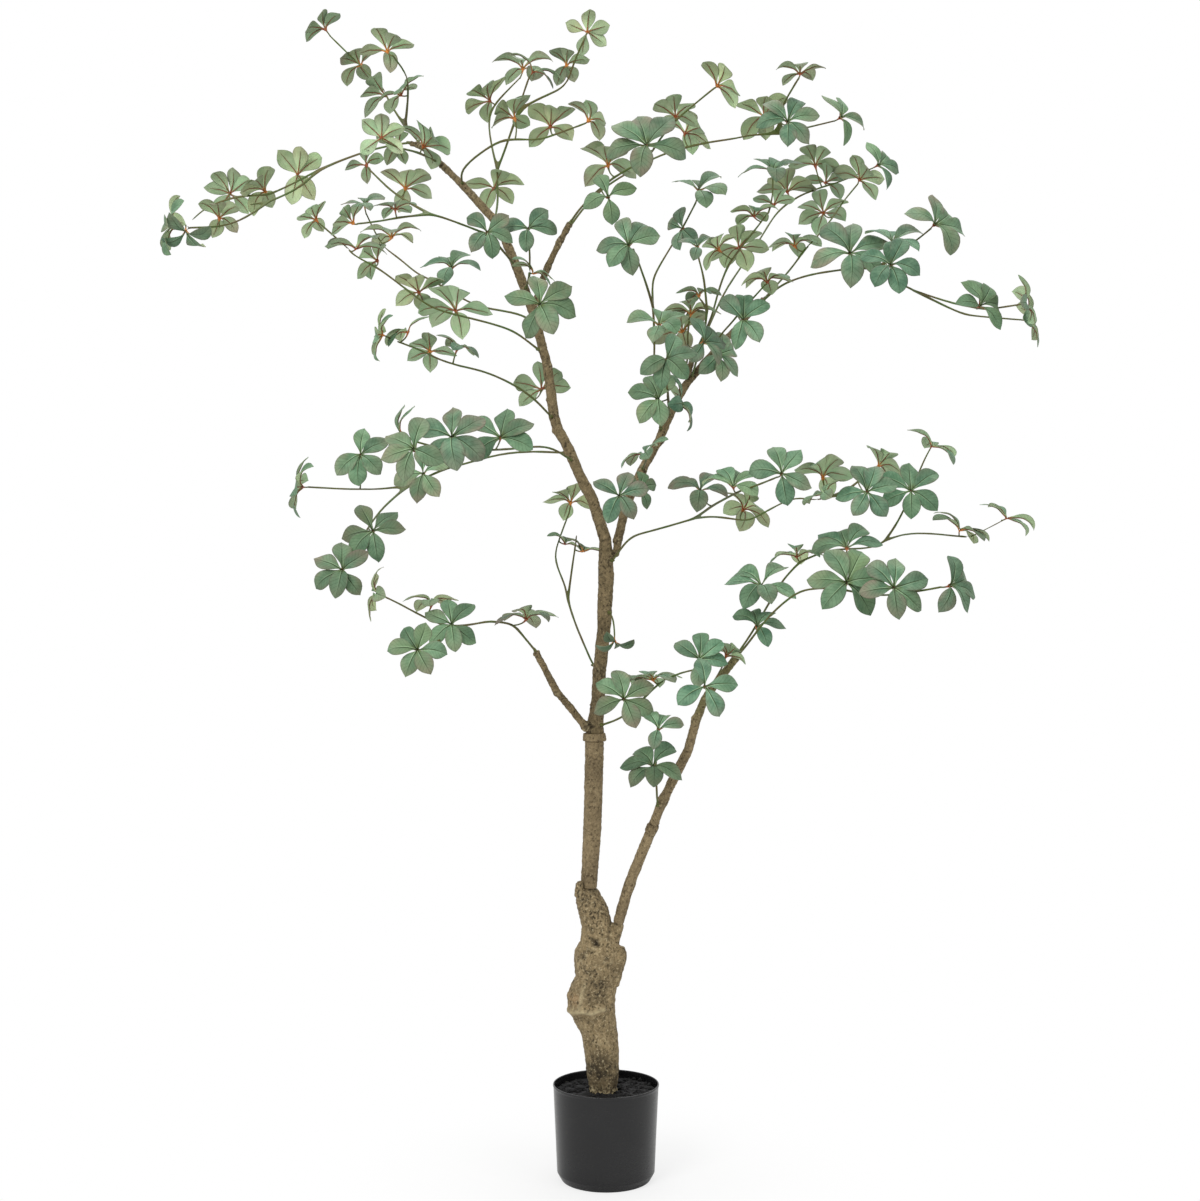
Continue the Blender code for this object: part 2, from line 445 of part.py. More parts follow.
# The bark pieces: (depth, across, up, radius) along each one's middle line.
POLE_LOWER = [(0.0, -0.0260, 0.446, 0.0122), (0.0, -0.0260, 0.452, 0.0123),
              (0.0, -0.0233, 0.500, 0.0132), (0.0, -0.0208, 0.540, 0.0137),
              (0.0, -0.0190, 0.610, 0.0141), (0.0, -0.0177, 0.667, 0.0144),
              (0.0, -0.0177, 0.672, 0.0144)]
POLE_COLLAR = [(0.0, -0.0177, 0.6725, 0.0180), (0.0, -0.0177, 0.684, 0.0172)]
TRUNK_UPPER = [(0.0, -0.0177, 0.6845, 0.0135), (0.0, -0.0175, 0.690, 0.0132),
               (0.0, -0.013, 0.726, 0.0102),
               (0.0, -0.010, 0.780, 0.0103), (0.002, -0.003, 0.843, 0.0105),
               (0.004, 0.000, 0.928, 0.0124), (0.004, -0.001, 0.982, 0.0092),
               (0.004, -0.0205, 1.043, 0.0086), (0.004, -0.0400, 1.080, 0.0082),
               (0.004, -0.0575, 1.122, 0.0080), (0.006, -0.0735, 1.151, 0.0081),
               (0.006, -0.0803, 1.172, 0.0080), (0.008, -0.0830, 1.197, 0.0073),
               (0.010, -0.0905, 1.250, 0.0073),
               (0.014, -0.1105, 1.328, 0.0072), (0.018, -0.1385, 1.405, 0.0070),
               (0.022, -0.165, 1.466, 0.0066), (0.026, -0.206, 1.512, 0.0060),
               (0.032, -0.247, 1.554, 0.0045), (0.038, -0.286, 1.588, 0.0034),
               (0.042, -0.300, 1.592, 0.0030)]
LIMB_LOW_RIGHT = [(-0.005, 0.0185, 0.392, 0.0083), (-0.010, 0.0355, 0.4514, 0.0083),
                  (-0.018, 0.0677, 0.531, 0.0082)]
LIMB_LOW_RIGHT_COLLAR = [(-0.018, 0.0680, 0.5318, 0.0094), (-0.020, 0.0725, 0.543, 0.0088)]
LIMB_LOW_RIGHT_UPPER = [(-0.020, 0.0728, 0.5438, 0.0072), (-0.030, 0.0877, 0.5815, 0.0072),
                        (-0.040, 0.1080, 0.622, 0.0074), (-0.050, 0.1262, 0.6585, 0.0070),
                        (-0.060, 0.1385, 0.704, 0.0066), (-0.075, 0.1520, 0.738, 0.0058),
                        (-0.090, 0.1800, 0.775, 0.0056), (-0.100, 0.2010, 0.802, 0.0050)]
LIMB_RIGHT = [(0.005, 0.0060, 0.960, 0.0052), (0.006, 0.0182, 0.980, 0.0068),
              (0.010, 0.031, 1.035, 0.0070),
              (0.018, 0.055, 1.089, 0.0068), (0.026, 0.0815, 1.135, 0.0066),
              (0.036, 0.105, 1.189, 0.0064), (0.046, 0.122, 1.219, 0.0062),
              (0.060, 0.151, 1.254, 0.0056), (0.085, 0.191, 1.297, 0.0050),
              (0.120, 0.243, 1.352, 0.0036)]
LIMB_RIGHT_TWIG = [(0.040, 0.1213, 1.2300, 0.0048), (0.036, 0.128, 1.243, 0.0044),
                   (0.034, 0.1323, 1.256, 0.0026)]
LIMB_TOP = [(0.012, -0.1120, 1.348, 0.0050), (0.008, -0.1035, 1.367, 0.0050),
            (0.000, -0.0905, 1.400, 0.0050),
            (-0.012, -0.0715, 1.440, 0.0046), (-0.020, -0.0560, 1.468, 0.0040)]
LIMB_LOWER_LEFT = [(-0.008, -0.0330, 0.696, 0.0058), (-0.030, -0.0570, 0.726, 0.0056),
                   (-0.055, -0.0760, 0.748, 0.0054), (-0.078, -0.1080, 0.809, 0.0046)]
TRUNK_BASE = [(0.0, FOOT_ACROSS, WEIGHT_TOP - SOCKET_DEPTH + GAP, FOOT_RADIUS),
              (0.0, FOOT_ACROSS, SOIL_TOP + 0.006, FOOT_RADIUS),
              (0.0, -0.0050, 0.160, 0.0240), (0.0, -0.0068, 0.193, 0.0262),
              (0.0, -0.0114, 0.231, 0.0280), (0.0, -0.0193, 0.256, 0.0339),
              (0.0, -0.0225, 0.277, 0.0378), (0.0, -0.0148, 0.305, 0.0322),
              (0.0, -0.0130, 0.333, 0.0360), (0.0, -0.0115, 0.350, 0.0360),
              (0.0, -0.0117, 0.366, 0.0280), (0.0, -0.0134, 0.3885, 0.0231),
              (0.0, -0.0190, 0.410, 0.0232), (0.0, -0.0262, 0.430, 0.0200),
              (0.0, -0.0262, 0.4405, 0.0162), (0.0, -0.0260, 0.4455, 0.0130)]
TRUNK_KNOB = [(-0.008, 0.0225, 0.3565, 0.0075), (-0.008, 0.0212, 0.3515, 0.0108),
              (-0.008, 0.0190, 0.340, 0.0130), (-0.007, 0.0145, 0.322, 0.0130),
              (-0.006, 0.0085, 0.298, 0.0115)]
TRUNK_LUG = [(-0.004, -0.030, 0.420, 0.0080), (-0.010, -0.0412, 0.437, 0.0068),
             (-0.0135, -0.0402, 0.4560, 0.0042)]


# ---------------------------------------------------------------- places on the elevation
def sight(across, up, depth):
    """The point seen at (across, up) on the front elevation, depth away from the viewer."""
    spread = (EYE_DISTANCE + depth) / EYE_DISTANCE
    return Vector((across * spread, depth, EYE_HEIGHT + (up - EYE_HEIGHT) * spread))


def seen(point):
    """Where a point is seen on the front elevation."""
    spread = (EYE_DISTANCE + point.y) / EYE_DISTANCE
    return Vector((point.x / spread, EYE_HEIGHT + (point.z - EYE_HEIGHT) / spread))


def middle_line(rows):
    """A bark piece's middle line in space, with its radii."""
    return [sight(across, up, depth) for depth, across, up, _ in rows], [row[3] for row in rows]


# ---------------------------------------------------------------- Blender helpers
def clear_scene():
    """Starts from an empty scene."""
    for item in list(bpy.data.objects):
        bpy.data.objects.remove(item, do_unlink=True)


def new_collection(name):
    """A collection linked to the scene."""
    collection = bpy.data.collections.new(name)
    bpy.context.scene.collection.children.link(collection)
    return collection


def material(name, colour, roughness):
    """A plain Principled material."""
    made = bpy.data.materials.new(name)
    made.use_nodes = True
    shader = made.node_tree.nodes["Principled BSDF"]
    shader.inputs["Base Color"].default_value = (*colour, 1.0)
    shader.inputs["Roughness"].default_value = roughness
    shader.inputs["Metallic"].default_value = 0.0
    return made


def add_object(name, mesh, finish, collection):
    """An object for a mesh, in its collection, with its material."""
    made = bpy.data.objects.new(name, mesh)
    made.data.materials.clear()
    made.data.materials.append(finish)
    collection.objects.link(made)
    return made


def tube_mesh(points, radii, sides, steps, smooth=True):
    """A closed round tube through the points, as a mesh made from a bevelled curve."""
    curve = bpy.data.curves.new("tube", "CURVE")
    curve.dimensions = "3D"
    curve.bevel_depth = 1.0
    curve.bevel_resolution = (sides - 4) // 2
    curve.use_fill_caps = True
    spline = curve.splines.new("BEZIER" if smooth else "POLY")
    spline.resolution_u = steps
    if smooth:
        spline.bezier_points.add(len(points) - 1)
        for knot, point, radius in zip(spline.bezier_points, points, radii):
            knot.co = point
            knot.radius = radius
            knot.handle_left_type = "AUTO"
            knot.handle_right_type = "AUTO"
    else:
        spline.points.add(len(points) - 1)
        for knot, point, radius in zip(spline.points, points, radii):
            knot.co = (*point, 1.0)
            knot.radius = radius
    holder = bpy.data.objects.new("tube", curve)
    bpy.context.scene.collection.objects.link(holder)
    bpy.context.view_layer.update()
    evaluated = holder.evaluated_get(bpy.context.evaluated_depsgraph_get())
    mesh = bpy.data.meshes.new_from_object(evaluated)
    bpy.data.objects.remove(holder, do_unlink=True)
    form = bmesh.new()
    form.from_mesh(mesh)
    bmesh.ops.remove_doubles(form, verts=form.verts, dist=1e-6)
    bmesh.ops.recalc_face_normals(form, faces=form.faces)
    form.to_mesh(mesh)
    form.free()
    return mesh


def join_meshes(meshes):
    """One mesh that holds all the others."""
    form = bmesh.new()
    for mesh in meshes:
        form.from_mesh(mesh)
        bpy.data.meshes.remove(mesh)
    joined = bpy.data.meshes.new("joined")
    form.to_mesh(joined)
    form.free()
    return joined


def unite(target, helper):
    """Joins helper to target with a Boolean that stays on target."""
    helper.hide_render = True
    helper.display_type = "WIRE"
    modifier = target.modifiers.new("join", "BOOLEAN")
    modifier.operation = "UNION"
    modifier.solver = "EXACT"
    modifier.use_self = True
    modifier.object = helper


def turned(name, profile, finish, collection):
    """A closed turned shape from a profile of (radius, height) that starts and ends at the axis."""
    form = bmesh.new()
    corners = [form.verts.new((radius, 0.0, height)) for radius, height in profile]
    for first, second in zip(corners, corners[1:]):
        form.edges.new((first, second))
    mesh = bpy.data.meshes.new(name)
    form.to_mesh(mesh)
    form.free()
    made = add_object(name, mesh, finish, collection)
    screw = made.modifiers.new("turn", "SCREW")
    screw.axis = "Z"
    screw.steps = TURN_STEPS
    screw.render_steps = TURN_STEPS
    screw.use_merge_vertices = True
    screw.merge_threshold = 0.00001
    screw.use_normal_calculate = True
    return made


# ---------------------------------------------------------------- pot and its filling
def build_pot(collection, finish):
    """The thin nursery pot, open at the top."""
    wall = POT_WALL
    band_foot = POT_HEIGHT - POT_BAND
    inside = POT_RIM_RADIUS - wall - POT_EDGE
    profile = [
        (0.0, 0.0),
        (POT_FOOT_RADIUS, 0.0),
        (POT_SHOULDER_RADIUS, POT_SHOULDER_HEIGHT),
        (POT_TOP_RADIUS, SIDE_TOP),
        (POT_RIM_RADIUS, band_foot),
        (POT_RIM_RADIUS, POT_HEIGHT - POT_EDGE),
        (POT_RIM_RADIUS - POT_EDGE, POT_HEIGHT),
        (inside + POT_EDGE / 2, POT_HEIGHT),
        (inside, band_foot),
        (POT_TOP_RADIUS - wall, SIDE_TOP - POT_BAND_STEP),
        (POT_SHOULDER_RADIUS - wall, POT_SHOULDER_HEIGHT + wall / 2),
        (POT_FOOT_RADIUS - 0.8 * wall, POT_FLOOR),
        (0.0, POT_FLOOR),
    ]
    return turned("pot", profile, finish, collection)


def inner_radius(height):
    """The pot's inside radius at a height above its shoulder, less the gap."""
    share = (height - POT_SHOULDER_HEIGHT) / (SIDE_TOP - POT_SHOULDER_HEIGHT)
    outer = POT_SHOULDER_RADIUS + share * (POT_TOP_RADIUS - POT_SHOULDER_RADIUS)
    return outer - POT_WALL - 2 * GAP


def bored(disc, radius, low, high, helpers, finish):
    """Cuts the trunk's round socket through or into a disc."""
    bpy.ops.mesh.primitive_cylinder_add(
        vertices=24, radius=radius, depth=high - low,
        location=(FOOT_ACROSS, 0.0, (low + high) / 2))
    cutter = bpy.context.active_object
    cutter.name = disc.name + "_bore"
    cutter.data.materials.append(finish)
    for collection in cutter.users_collection:
        collection.objects.unlink(cutter)
    helpers.objects.link(cutter)
    cutter.hide_render = True
    cutter.display_type = "WIRE"
    cut = disc.modifiers.new("bore", "BOOLEAN")
    cut.operation = "DIFFERENCE"
    cut.solver = "EXACT"
    cut.object = cutter


def build_weight(collection, helpers, finish):
    """The cement cast in the pot, which keeps the tree upright, with the trunk's socket."""
    low = POT_FLOOR + GAP
    profile = [
        (0.0, low),
        (POT_FOOT_RADIUS - 0.8 * POT_WALL - 3 * GAP, low),
        (inner_radius(POT_SHOULDER_HEIGHT + 0.001) - GAP, POT_SHOULDER_HEIGHT + 0.002),
        (inner_radius(WEIGHT_TOP), WEIGHT_TOP),
        (0.0, WEIGHT_TOP),
    ]
    weight = turned("cement_weight", profile, finish, collection)
    bored(weight, FOOT_RADIUS + 2 * GAP, WEIGHT_TOP - SOCKET_DEPTH, WEIGHT_TOP + 0.01, helpers, finish)
    return weight


def build_soil(collection, helpers, finish):
    """The lumpy black crumb layer around the trunk's foot."""
    low = WEIGHT_TOP + GAP
    form = bmesh.new()
    bmesh.ops.create_cone(
        form, cap_ends=True, segments=28, radius1=inner_radius(low),
        radius2=inner_radius(SOIL_TOP) - GAP, depth=SOIL_TOP - low,
        matrix=Matrix.Translation((0.0, 0.0, (SOIL_TOP + low) / 2)))
    lid = [face for face in form.faces if face.normal.z > 0.9]
    for ring in range(1, SOIL_RINGS):
        inset = bmesh.ops.inset_region(
            form, faces=lid, thickness=POT_TOP_RADIUS / (SOIL_RINGS + 1))
        for face in inset["faces"]:
            for corner in face.verts:
                if corner.co.z > SOIL_TOP - 1e-6:
                    swirl = math.sin(9.0 * corner.co.x / POT_RIM_RADIUS + 2.3 * ring)
                    ripple = math.cos(11.0 * corner.co.y / POT_RIM_RADIUS + 1.7 * ring)
                    corner.co.z = SOIL_TOP + SOIL_LUMP * (0.5 + 0.5 * swirl * ripple)
    bmesh.ops.recalc_face_normals(form, faces=form.faces)
    mesh = bpy.data.meshes.new("soil_top")
    form.to_mesh(mesh)
    form.free()
    soil = add_object("soil_top", mesh, finish, collection)
    bored(soil, FOOT_RADIUS + 2 * GAP, low - 0.01, SOIL_TOP + 0.02, helpers, finish)
    return soil


# ---------------------------------------------------------------- bark
def build_bark(name, rows, finish, collection, sides=10, steps=1):
    """A bark piece: one tapering tube along its middle line, seated on its carrier if any."""
    points, radii = middle_line(rows)
    if name in BARK_CARRIERS:
        seat(BARK_CARRIERS[name], points, radii[0])
        radii.insert(1, radii[0])
    return add_object(name, tube_mesh(points, radii, sides, steps), finish, collection)


def build_trunk_base(collection, helpers, finish):
    """The gnarled foot: a peg in the cement, a knob, a lug and a boss for the low limb."""
    base = build_bark("trunk_base", TRUNK_BASE, finish, collection, sides=12, steps=2)
    limb = middle_line(LIMB_LOW_RIGHT)[0]
    along = (limb[1] - limb[0]).normalized()
    top = limb[0] - along * GAP
    shoulder = top - along * BOSS_LENGTH
    root = shoulder - Vector((0.008, 0.0, 0.020))
    boss = tube_mesh([root, shoulder, top], [0.0110, 0.0105, 0.0087], 10, 2)
    lug = tube_mesh(*middle_line(TRUNK_LUG), 8, 2)
    knob = tube_mesh(*middle_line(TRUNK_KNOB), 10, 2)
    growths = join_meshes([boss, lug, knob])
    unite(base, add_object("trunk_base_growths", growths, finish, helpers))
    return base


BARK_PIECES = {
    "pole_lower": POLE_LOWER,
    "pole_collar": POLE_COLLAR,
    "trunk_upper": TRUNK_UPPER,
    "limb_low_right": LIMB_LOW_RIGHT,
    "limb_low_right_collar": LIMB_LOW_RIGHT_COLLAR,
    "limb_low_right_upper": LIMB_LOW_RIGHT_UPPER,
    "limb_right": LIMB_RIGHT,
    "limb_right_twig": LIMB_RIGHT_TWIG,
    "limb_top": LIMB_TOP,
    "limb_lower_left": LIMB_LOWER_LEFT,
}
BARK_CARRIERS = {
    "limb_right": "trunk_upper",
    "limb_top": "trunk_upper",
    "limb_lower_left": "trunk_upper",
}


# ---------------------------------------------------------------- sprays
def nearest_on_line(points, place):
    """The point of a polyline nearest to a place, with the direction of the line there."""
    best = None
    for first, second in zip(points, points[1:]):
        run = second - first
        share = max(0.0, min(1.0, (place - first).dot(run) / run.length_squared))
        spot = first + share * run
        distance = (place - spot).length
        if best is None or distance < best[0]:
            best = (distance, spot, run.normalized(), share)
    return best


def nearest_seen(points, across, up):
    """The point of a polyline that is seen nearest to a place on the elevation."""
    target = Vector((across, up))
    best = None
    for first, second in zip(points, points[1:]):
        start, end = seen(first), seen(second)
        run = end - start
        share = max(0.0, min(1.0, (target - start).dot(run) / max(run.length_squared, 1e-9)))
        distance = (target - start.lerp(end, share)).length
        if best is None or distance < best[0]:
            best = (distance, first.lerp(second, share))
    return best


def carrier_radius(rows, place):
    """A bark piece's radius where its middle line comes nearest to a place."""
    points, radii = middle_line(rows)
    spans = [
        ((place - nearest_on_line([points[i], points[i + 1]], place)[1]).length, i)
        for i in range(len(points) - 1)
    ]
    _, i = min(spans)
    share = nearest_on_line([points[i], points[i + 1]], place)[3]
    return radii[i] + share * (radii[i + 1] - radii[i])


def seat(carrier, points, straight):
    """Puts a line's first point on its carrier's bark, leaving the usual gap.

    The line leaves the bark squarely, straight on for the given distance: from the
    carrier's end if it starts within END_REACH of it, otherwise from its side."""
    rows = BARK_PIECES[carrier]
    line, _ = middle_line(rows)
    place = points[0]
    _, spot, along, _ = nearest_on_line(line, place)
    if (spot - line[-1]).length < END_REACH:
        points[0] = line[-1] + along * GAP
        points.insert(1, points[0] + along * straight)
        return
    out = points[1] - spot
    out -= along * out.dot(along)
    out.normalize()
    points[0] = spot + out * (carrier_radius(rows, place) + GAP)
    points.insert(1, points[0] + out * straight)


def strand_points(strand, earlier):
    """A strand's points in space, its depth changing evenly along its length."""
    start_depth, end_depth, places = strand
    end_depth *= CROWN_DEPTH
    first = None
    if start_depth is None:
        _, first = min((nearest_seen(line, *places[0]) for line in earlier), key=lambda hit: hit[0])
        start_depth = first.y
    runs = [0.0]
    for (x0, z0), (x1, z1) in zip(places, places[1:]):
        runs.append(runs[-1] + math.hypot(x1 - x0, z1 - z0))
    points = []
    for (across, up), run in zip(places, runs):
        share = run / runs[-1]
        points.append(sight(across, up, start_depth + share * (end_depth - start_depth)))
    if first is not None:
        points[0] = first
    return points


def whorl_axis(facing):
    """A whorl's axis in space."""
    across, towards, up = FACINGS[facing]
    return Vector((across, -towards, up)).normalized()


def leaf_directions(axis, leaves):
    """The direction of each leaf: spread evenly, or as seen at the listed angles.

    A whorl seen nearly edge on, with its axis under SEEN_FLAT towards the viewer, keeps
    the listed angles only as far as its own plane allows."""
    if isinstance(leaves, int):
        side = axis.cross(Vector((0.0, 1.0, 0.0))).normalized()
        other = axis.cross(side)
        turns = [2 * math.pi * (i + 0.25) / leaves for i in range(leaves)]
        flat = [math.cos(turn) * side + math.sin(turn) * other for turn in turns]
    else:
        flat = []
        for angle in leaves:
            seen_way = Vector((math.cos(math.radians(angle)), 0.0, math.sin(math.radians(angle))))
            if abs(axis.y) > SEEN_FLAT:
                seen_way.y = -seen_way.dot(axis) / axis.y
            else:
                seen_way -= axis * seen_way.dot(axis)
            flat.append(seen_way.normalized())
    return flat


def turn_about(axis, way):
    """The angle of a direction about a whorl's axis."""
    side = axis.cross(Vector((0.0, 1.0, 0.001))).normalized()
    return math.atan2(way.dot(axis.cross(side)), way.dot(side))


def face_on(corners):
    """The face that has just these corners."""
    wanted = set(corners)
    return next(face for face in corners[0].link_faces if set(face.verts) == wanted)


def add_whorl(form, whorl, lines):
    """A whorl: a hub with a leaf drawn out of each side and a stalk out of its back.

    A leaf is widest at LEAF_WIDEST of its length, and there its section is a triangle
    with a flat upper side, so two edges, a keel and a tip say where the leaf is."""
    across, up, facing, size, leaves, push = whorl
    _, foot = min((nearest_seen(line, across, up) for line in lines), key=lambda hit: hit[0])
    axis = whorl_axis(facing)
    hub = sight(across, up, foot.y + STALK_REACH * axis.y + push)
    length = size * (EYE_DISTANCE + hub.y) / EYE_DISTANCE
    flat = sorted(leaf_directions(axis, leaves), key=lambda way: turn_about(axis, way))
    count = len(flat)
    notches = [(flat[i - 1] + flat[i]).normalized() for i in range(count)]
    notches = [
        notch if notch.cross(flat[i]).dot(axis) > 0 else -notch for i, notch in enumerate(notches)
    ]
    prism = bmesh.ops.create_cone(
        form, cap_ends=True, segments=count, radius1=HUB_RADIUS, radius2=HUB_RADIUS, depth=1.0)
    corners = sorted(prism["verts"], key=lambda v: math.atan2(v.co.y, v.co.x) % (2 * math.pi))
    posts = [corners[2 * i: 2 * i + 2] for i in range(count)]
    sides = [face_on(posts[i] + posts[(i + 1) % count]) for i in range(count)]
    bottom = face_on([min(post, key=lambda corner: corner.co.z) for post in posts])
    for notch, post in zip(notches, posts):
        for corner in post:
            level = HUB_RADIUS * 0.5 * (1.0 if corner.co.z > 0 else -1.0)
            corner.co = hub + notch * HUB_RADIUS + axis * level
    for way, lift, side in zip(flat, LEAF_LIFTS, sides):
        tilted = (math.cos(lift) * way + math.sin(lift) * axis).normalized()
        draw_leaf(form, side, hub, tilted, axis, length)
    drawn = bmesh.ops.extrude_discrete_faces(form, faces=[bottom])["faces"][0]
    middle = drawn.calc_center_median()
    for corner in drawn.verts:
        corner.co = foot + (corner.co - middle) * STALK_RADIUS / HUB_RADIUS


def fold_outwards(face):
    """Splits a bent four-cornered face along the diagonal that makes a ridge of it."""
    a, b, c, d = face.verts
    ridge = (d.co - a.co).dot((b.co - a.co).cross(c.co - a.co)) < 0
    bmesh.utils.face_split(face, *((a, c) if ridge else (b, d)))


def draw_leaf(form, side, hub, way, axis, length):
    """Draws one leaf out of a side of the hub."""
    drawn = bmesh.ops.extrude_discrete_faces(form, faces=[side])["faces"][0]
    across = way.cross(axis).normalized()
    face_up = across.cross(way).normalized()
    middle = hub + way * length * LEAF_WIDEST
    keel = [corner for corner in drawn.verts if (corner.co - hub).dot(axis) < 0]
    edges = [corner for corner in drawn.verts if corner not in keel]
    edges.sort(key=lambda corner: (corner.co - hub).dot(across))
    edges[0].co = middle - across * length * LEAF_WIDTH / 2
    edges[1].co = middle + across * length * LEAF_WIDTH / 2
    bmesh.ops.pointmerge(form, verts=keel, merge_co=middle - face_up * LEAF_KEEL)
    tip = bmesh.ops.poke(form, faces=[drawn])["verts"][0]
    tip.co = hub + way * length
    for face in {face for corner in edges for face in corner.link_faces}:
        if len(face.verts) == 4:
            fold_outwards(face)


def build_spray(name, carrier, strands, whorls, finish, collection, helpers):
    """One moulded spray: its stem and side stems joined with its whorls."""
    lines = []
    for strand in strands:
        points = strand_points(strand, lines)
        if strand[0] is not None:
            seat(carrier, points, ROOT_STRAIGHT)
        lines.append(points)
    tubes = []
    for points in lines:
        last = len(points) - 1
        radii = [STEM_RADIUS * (1.0 - 0.35 * i / last) for i in range(last + 1)]
        tubes.append(tube_mesh(points, radii, 4, 1))
    stem = add_object(name, join_meshes(tubes), finish, collection)
    form = bmesh.new()
    for whorl in whorls:
        add_whorl(form, whorl, lines)
    mesh = bpy.data.meshes.new(name + "_whorls")
    form.to_mesh(mesh)
    form.free()
    unite(stem, add_object(name + "_whorls", mesh, finish, helpers))
    return stem


# ---------------------------------------------------------------- the whole tree
def build_tree():
    """Every piece, in the tree's collection."""
    clear_scene()
    tree = new_collection("potted_rhodoleia_tree")
    helpers = new_collection("joining_shapes")
    pot_plastic = material("pot_plastic", (0.035, 0.035, 0.038), 0.45)
    cement = material("cement", (0.42, 0.41, 0.39), 0.95)
    soil_crumb = material("soil_crumb", (0.02, 0.017, 0.014), 0.95)
    bark = material("bark", (0.21, 0.15, 0.09), 0.85)
    foliage = material("foliage", (0.16, 0.29, 0.18), 0.65)
    build_pot(tree, pot_plastic)
    build_weight(tree, helpers, cement)
    build_soil(tree, helpers, soil_crumb)
    build_trunk_base(tree, helpers, bark)
    for name, rows in BARK_PIECES.items():
        build_bark(name, rows, bark, tree)
    for name, (carrier, strands, whorls) in crown().items():
        build_spray(name, carrier, strands, whorls, foliage, tree, helpers)


build_tree()
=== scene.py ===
import math
import random

import bmesh
import bpy
import numpy as np
from mathutils import Matrix, Vector, noise
from mathutils.bvhtree import BVHTree


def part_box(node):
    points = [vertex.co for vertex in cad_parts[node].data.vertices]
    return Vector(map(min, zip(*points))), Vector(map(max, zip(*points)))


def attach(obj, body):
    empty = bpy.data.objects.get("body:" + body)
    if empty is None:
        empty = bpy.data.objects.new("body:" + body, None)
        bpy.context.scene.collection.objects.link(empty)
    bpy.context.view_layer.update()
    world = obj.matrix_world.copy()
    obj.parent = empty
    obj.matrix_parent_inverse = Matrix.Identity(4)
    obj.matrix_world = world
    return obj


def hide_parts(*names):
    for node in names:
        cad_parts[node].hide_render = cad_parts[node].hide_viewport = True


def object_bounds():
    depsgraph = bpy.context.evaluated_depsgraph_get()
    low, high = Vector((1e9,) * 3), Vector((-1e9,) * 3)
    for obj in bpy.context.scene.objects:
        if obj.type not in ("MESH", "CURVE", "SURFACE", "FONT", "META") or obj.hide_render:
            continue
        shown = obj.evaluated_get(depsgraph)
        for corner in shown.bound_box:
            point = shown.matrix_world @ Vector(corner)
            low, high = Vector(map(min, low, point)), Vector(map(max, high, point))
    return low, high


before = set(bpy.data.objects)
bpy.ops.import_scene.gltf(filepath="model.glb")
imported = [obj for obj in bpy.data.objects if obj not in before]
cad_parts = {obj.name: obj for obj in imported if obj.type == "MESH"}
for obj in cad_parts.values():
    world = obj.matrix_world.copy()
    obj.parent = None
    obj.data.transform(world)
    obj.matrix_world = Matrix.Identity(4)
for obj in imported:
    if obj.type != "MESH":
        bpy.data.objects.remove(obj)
cad_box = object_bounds()

# A potted rhodoleia tree.  Each spray is read from its CAD mesh and drawn again leaf by leaf on
# the CAD's own hubs and leaf directions.  The bark pieces are the CAD's forms as fine meshes with
# relief, the pot is turned from the CAD's profile, and the soil is the CAD's disc with crumbs.
# Lengths are in metres.  Meshes carry point fields of three values, which the materials read:
#   leaf    across the leaf -1..1, along it 0..1, distance from the midrib in mm
#   tone    yellow, mauve, light
#   stalk   0 at the stem to 1 at the hub, 0..1 out along a rib, the hub's own tone
#   bark    painted shade in the hollows, broad tone, green
#   marks_and_painted_light  darker, paler, warmer: real marks, and painted shade and highlights

# ---------------------------------------------------------------- the CAD's leaf rule
LEAF_WIDEST = 0.62  # the share of its length at which a CAD leaf is widest
LEAF_WIDTH = 0.56  # its width as a share of its length
LEAF_KEEL = 0.0014  # the depth of its keel
LEAF_SHORTEST = 0.02
RATIO_SLACK, KEEL_SLACK = 0.004, 0.0001  # how well a leaf read from a mesh fits the rule
SAME_HUB, CORNER_SLACK, TIP_SLACK = 2e-4, 3e-5, 2e-4
HUB_CORNER = math.hypot(0.0030, 0.0015)  # from a hub's middle to its corners
ROOT_SIDE = 0.0023 * math.sqrt(2.0)  # the side of a stem's square root end
WELD = 2e-6
LEAF_SLACK = 0.0002  # how near to a leaf that was read still counts as on it
GUESS_SLACK = 0.0012  # the same for a leaf that was worked out
TAU = math.tau

POLES = ("pole_lower", "pole_collar", "limb_low_right", "limb_low_right_collar",
         "limb_low_right_upper")
LIMBS = ("trunk_upper", "limb_right", "limb_right_twig", "limb_top", "limb_lower_left")
POT_PARTS = ("pot", "cement_weight", "soil_top")
SPRAYS = sorted(set(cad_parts) - {"trunk_base", *POLES, *LIMBS, *POT_PARTS})


def srgb(red, green, blue):
    """A colour written as 0-255 display values, as linear RGBA."""
    channels = [c / 255.0 for c in (red, green, blue)]
    linear = [c / 12.92 if c <= 0.04045 else ((c + 0.055) / 1.055) ** 2.4 for c in channels]
    return (*linear, 1.0)


def link(name, data):
    """A new object in the scene."""
    made = bpy.data.objects.new(name, data)
    bpy.context.scene.collection.objects.link(made)
    return made


def mesh_of(form, name):
    """The mesh of a bmesh, which is freed."""
    mesh = bpy.data.meshes.new(name)
    form.to_mesh(mesh)
    form.free()
    return mesh


def put_field(mesh, name, values):
    made = mesh.attributes.new(name, "FLOAT_VECTOR", "POINT")
    made.data.foreach_set("vector", np.array(values, float).ravel())


def finish_piece(name, node, slot, mesh, *materials):
    """Puts a finished mesh in the scene as the piece that is seen for a CAD node."""
    mesh.polygons.foreach_set("use_smooth", [True] * len(mesh.polygons))
    for material in materials:
        mesh.materials.append(material)
    mesh.update()
    piece = link(name, mesh)
    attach(piece, "root")
    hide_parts(node)


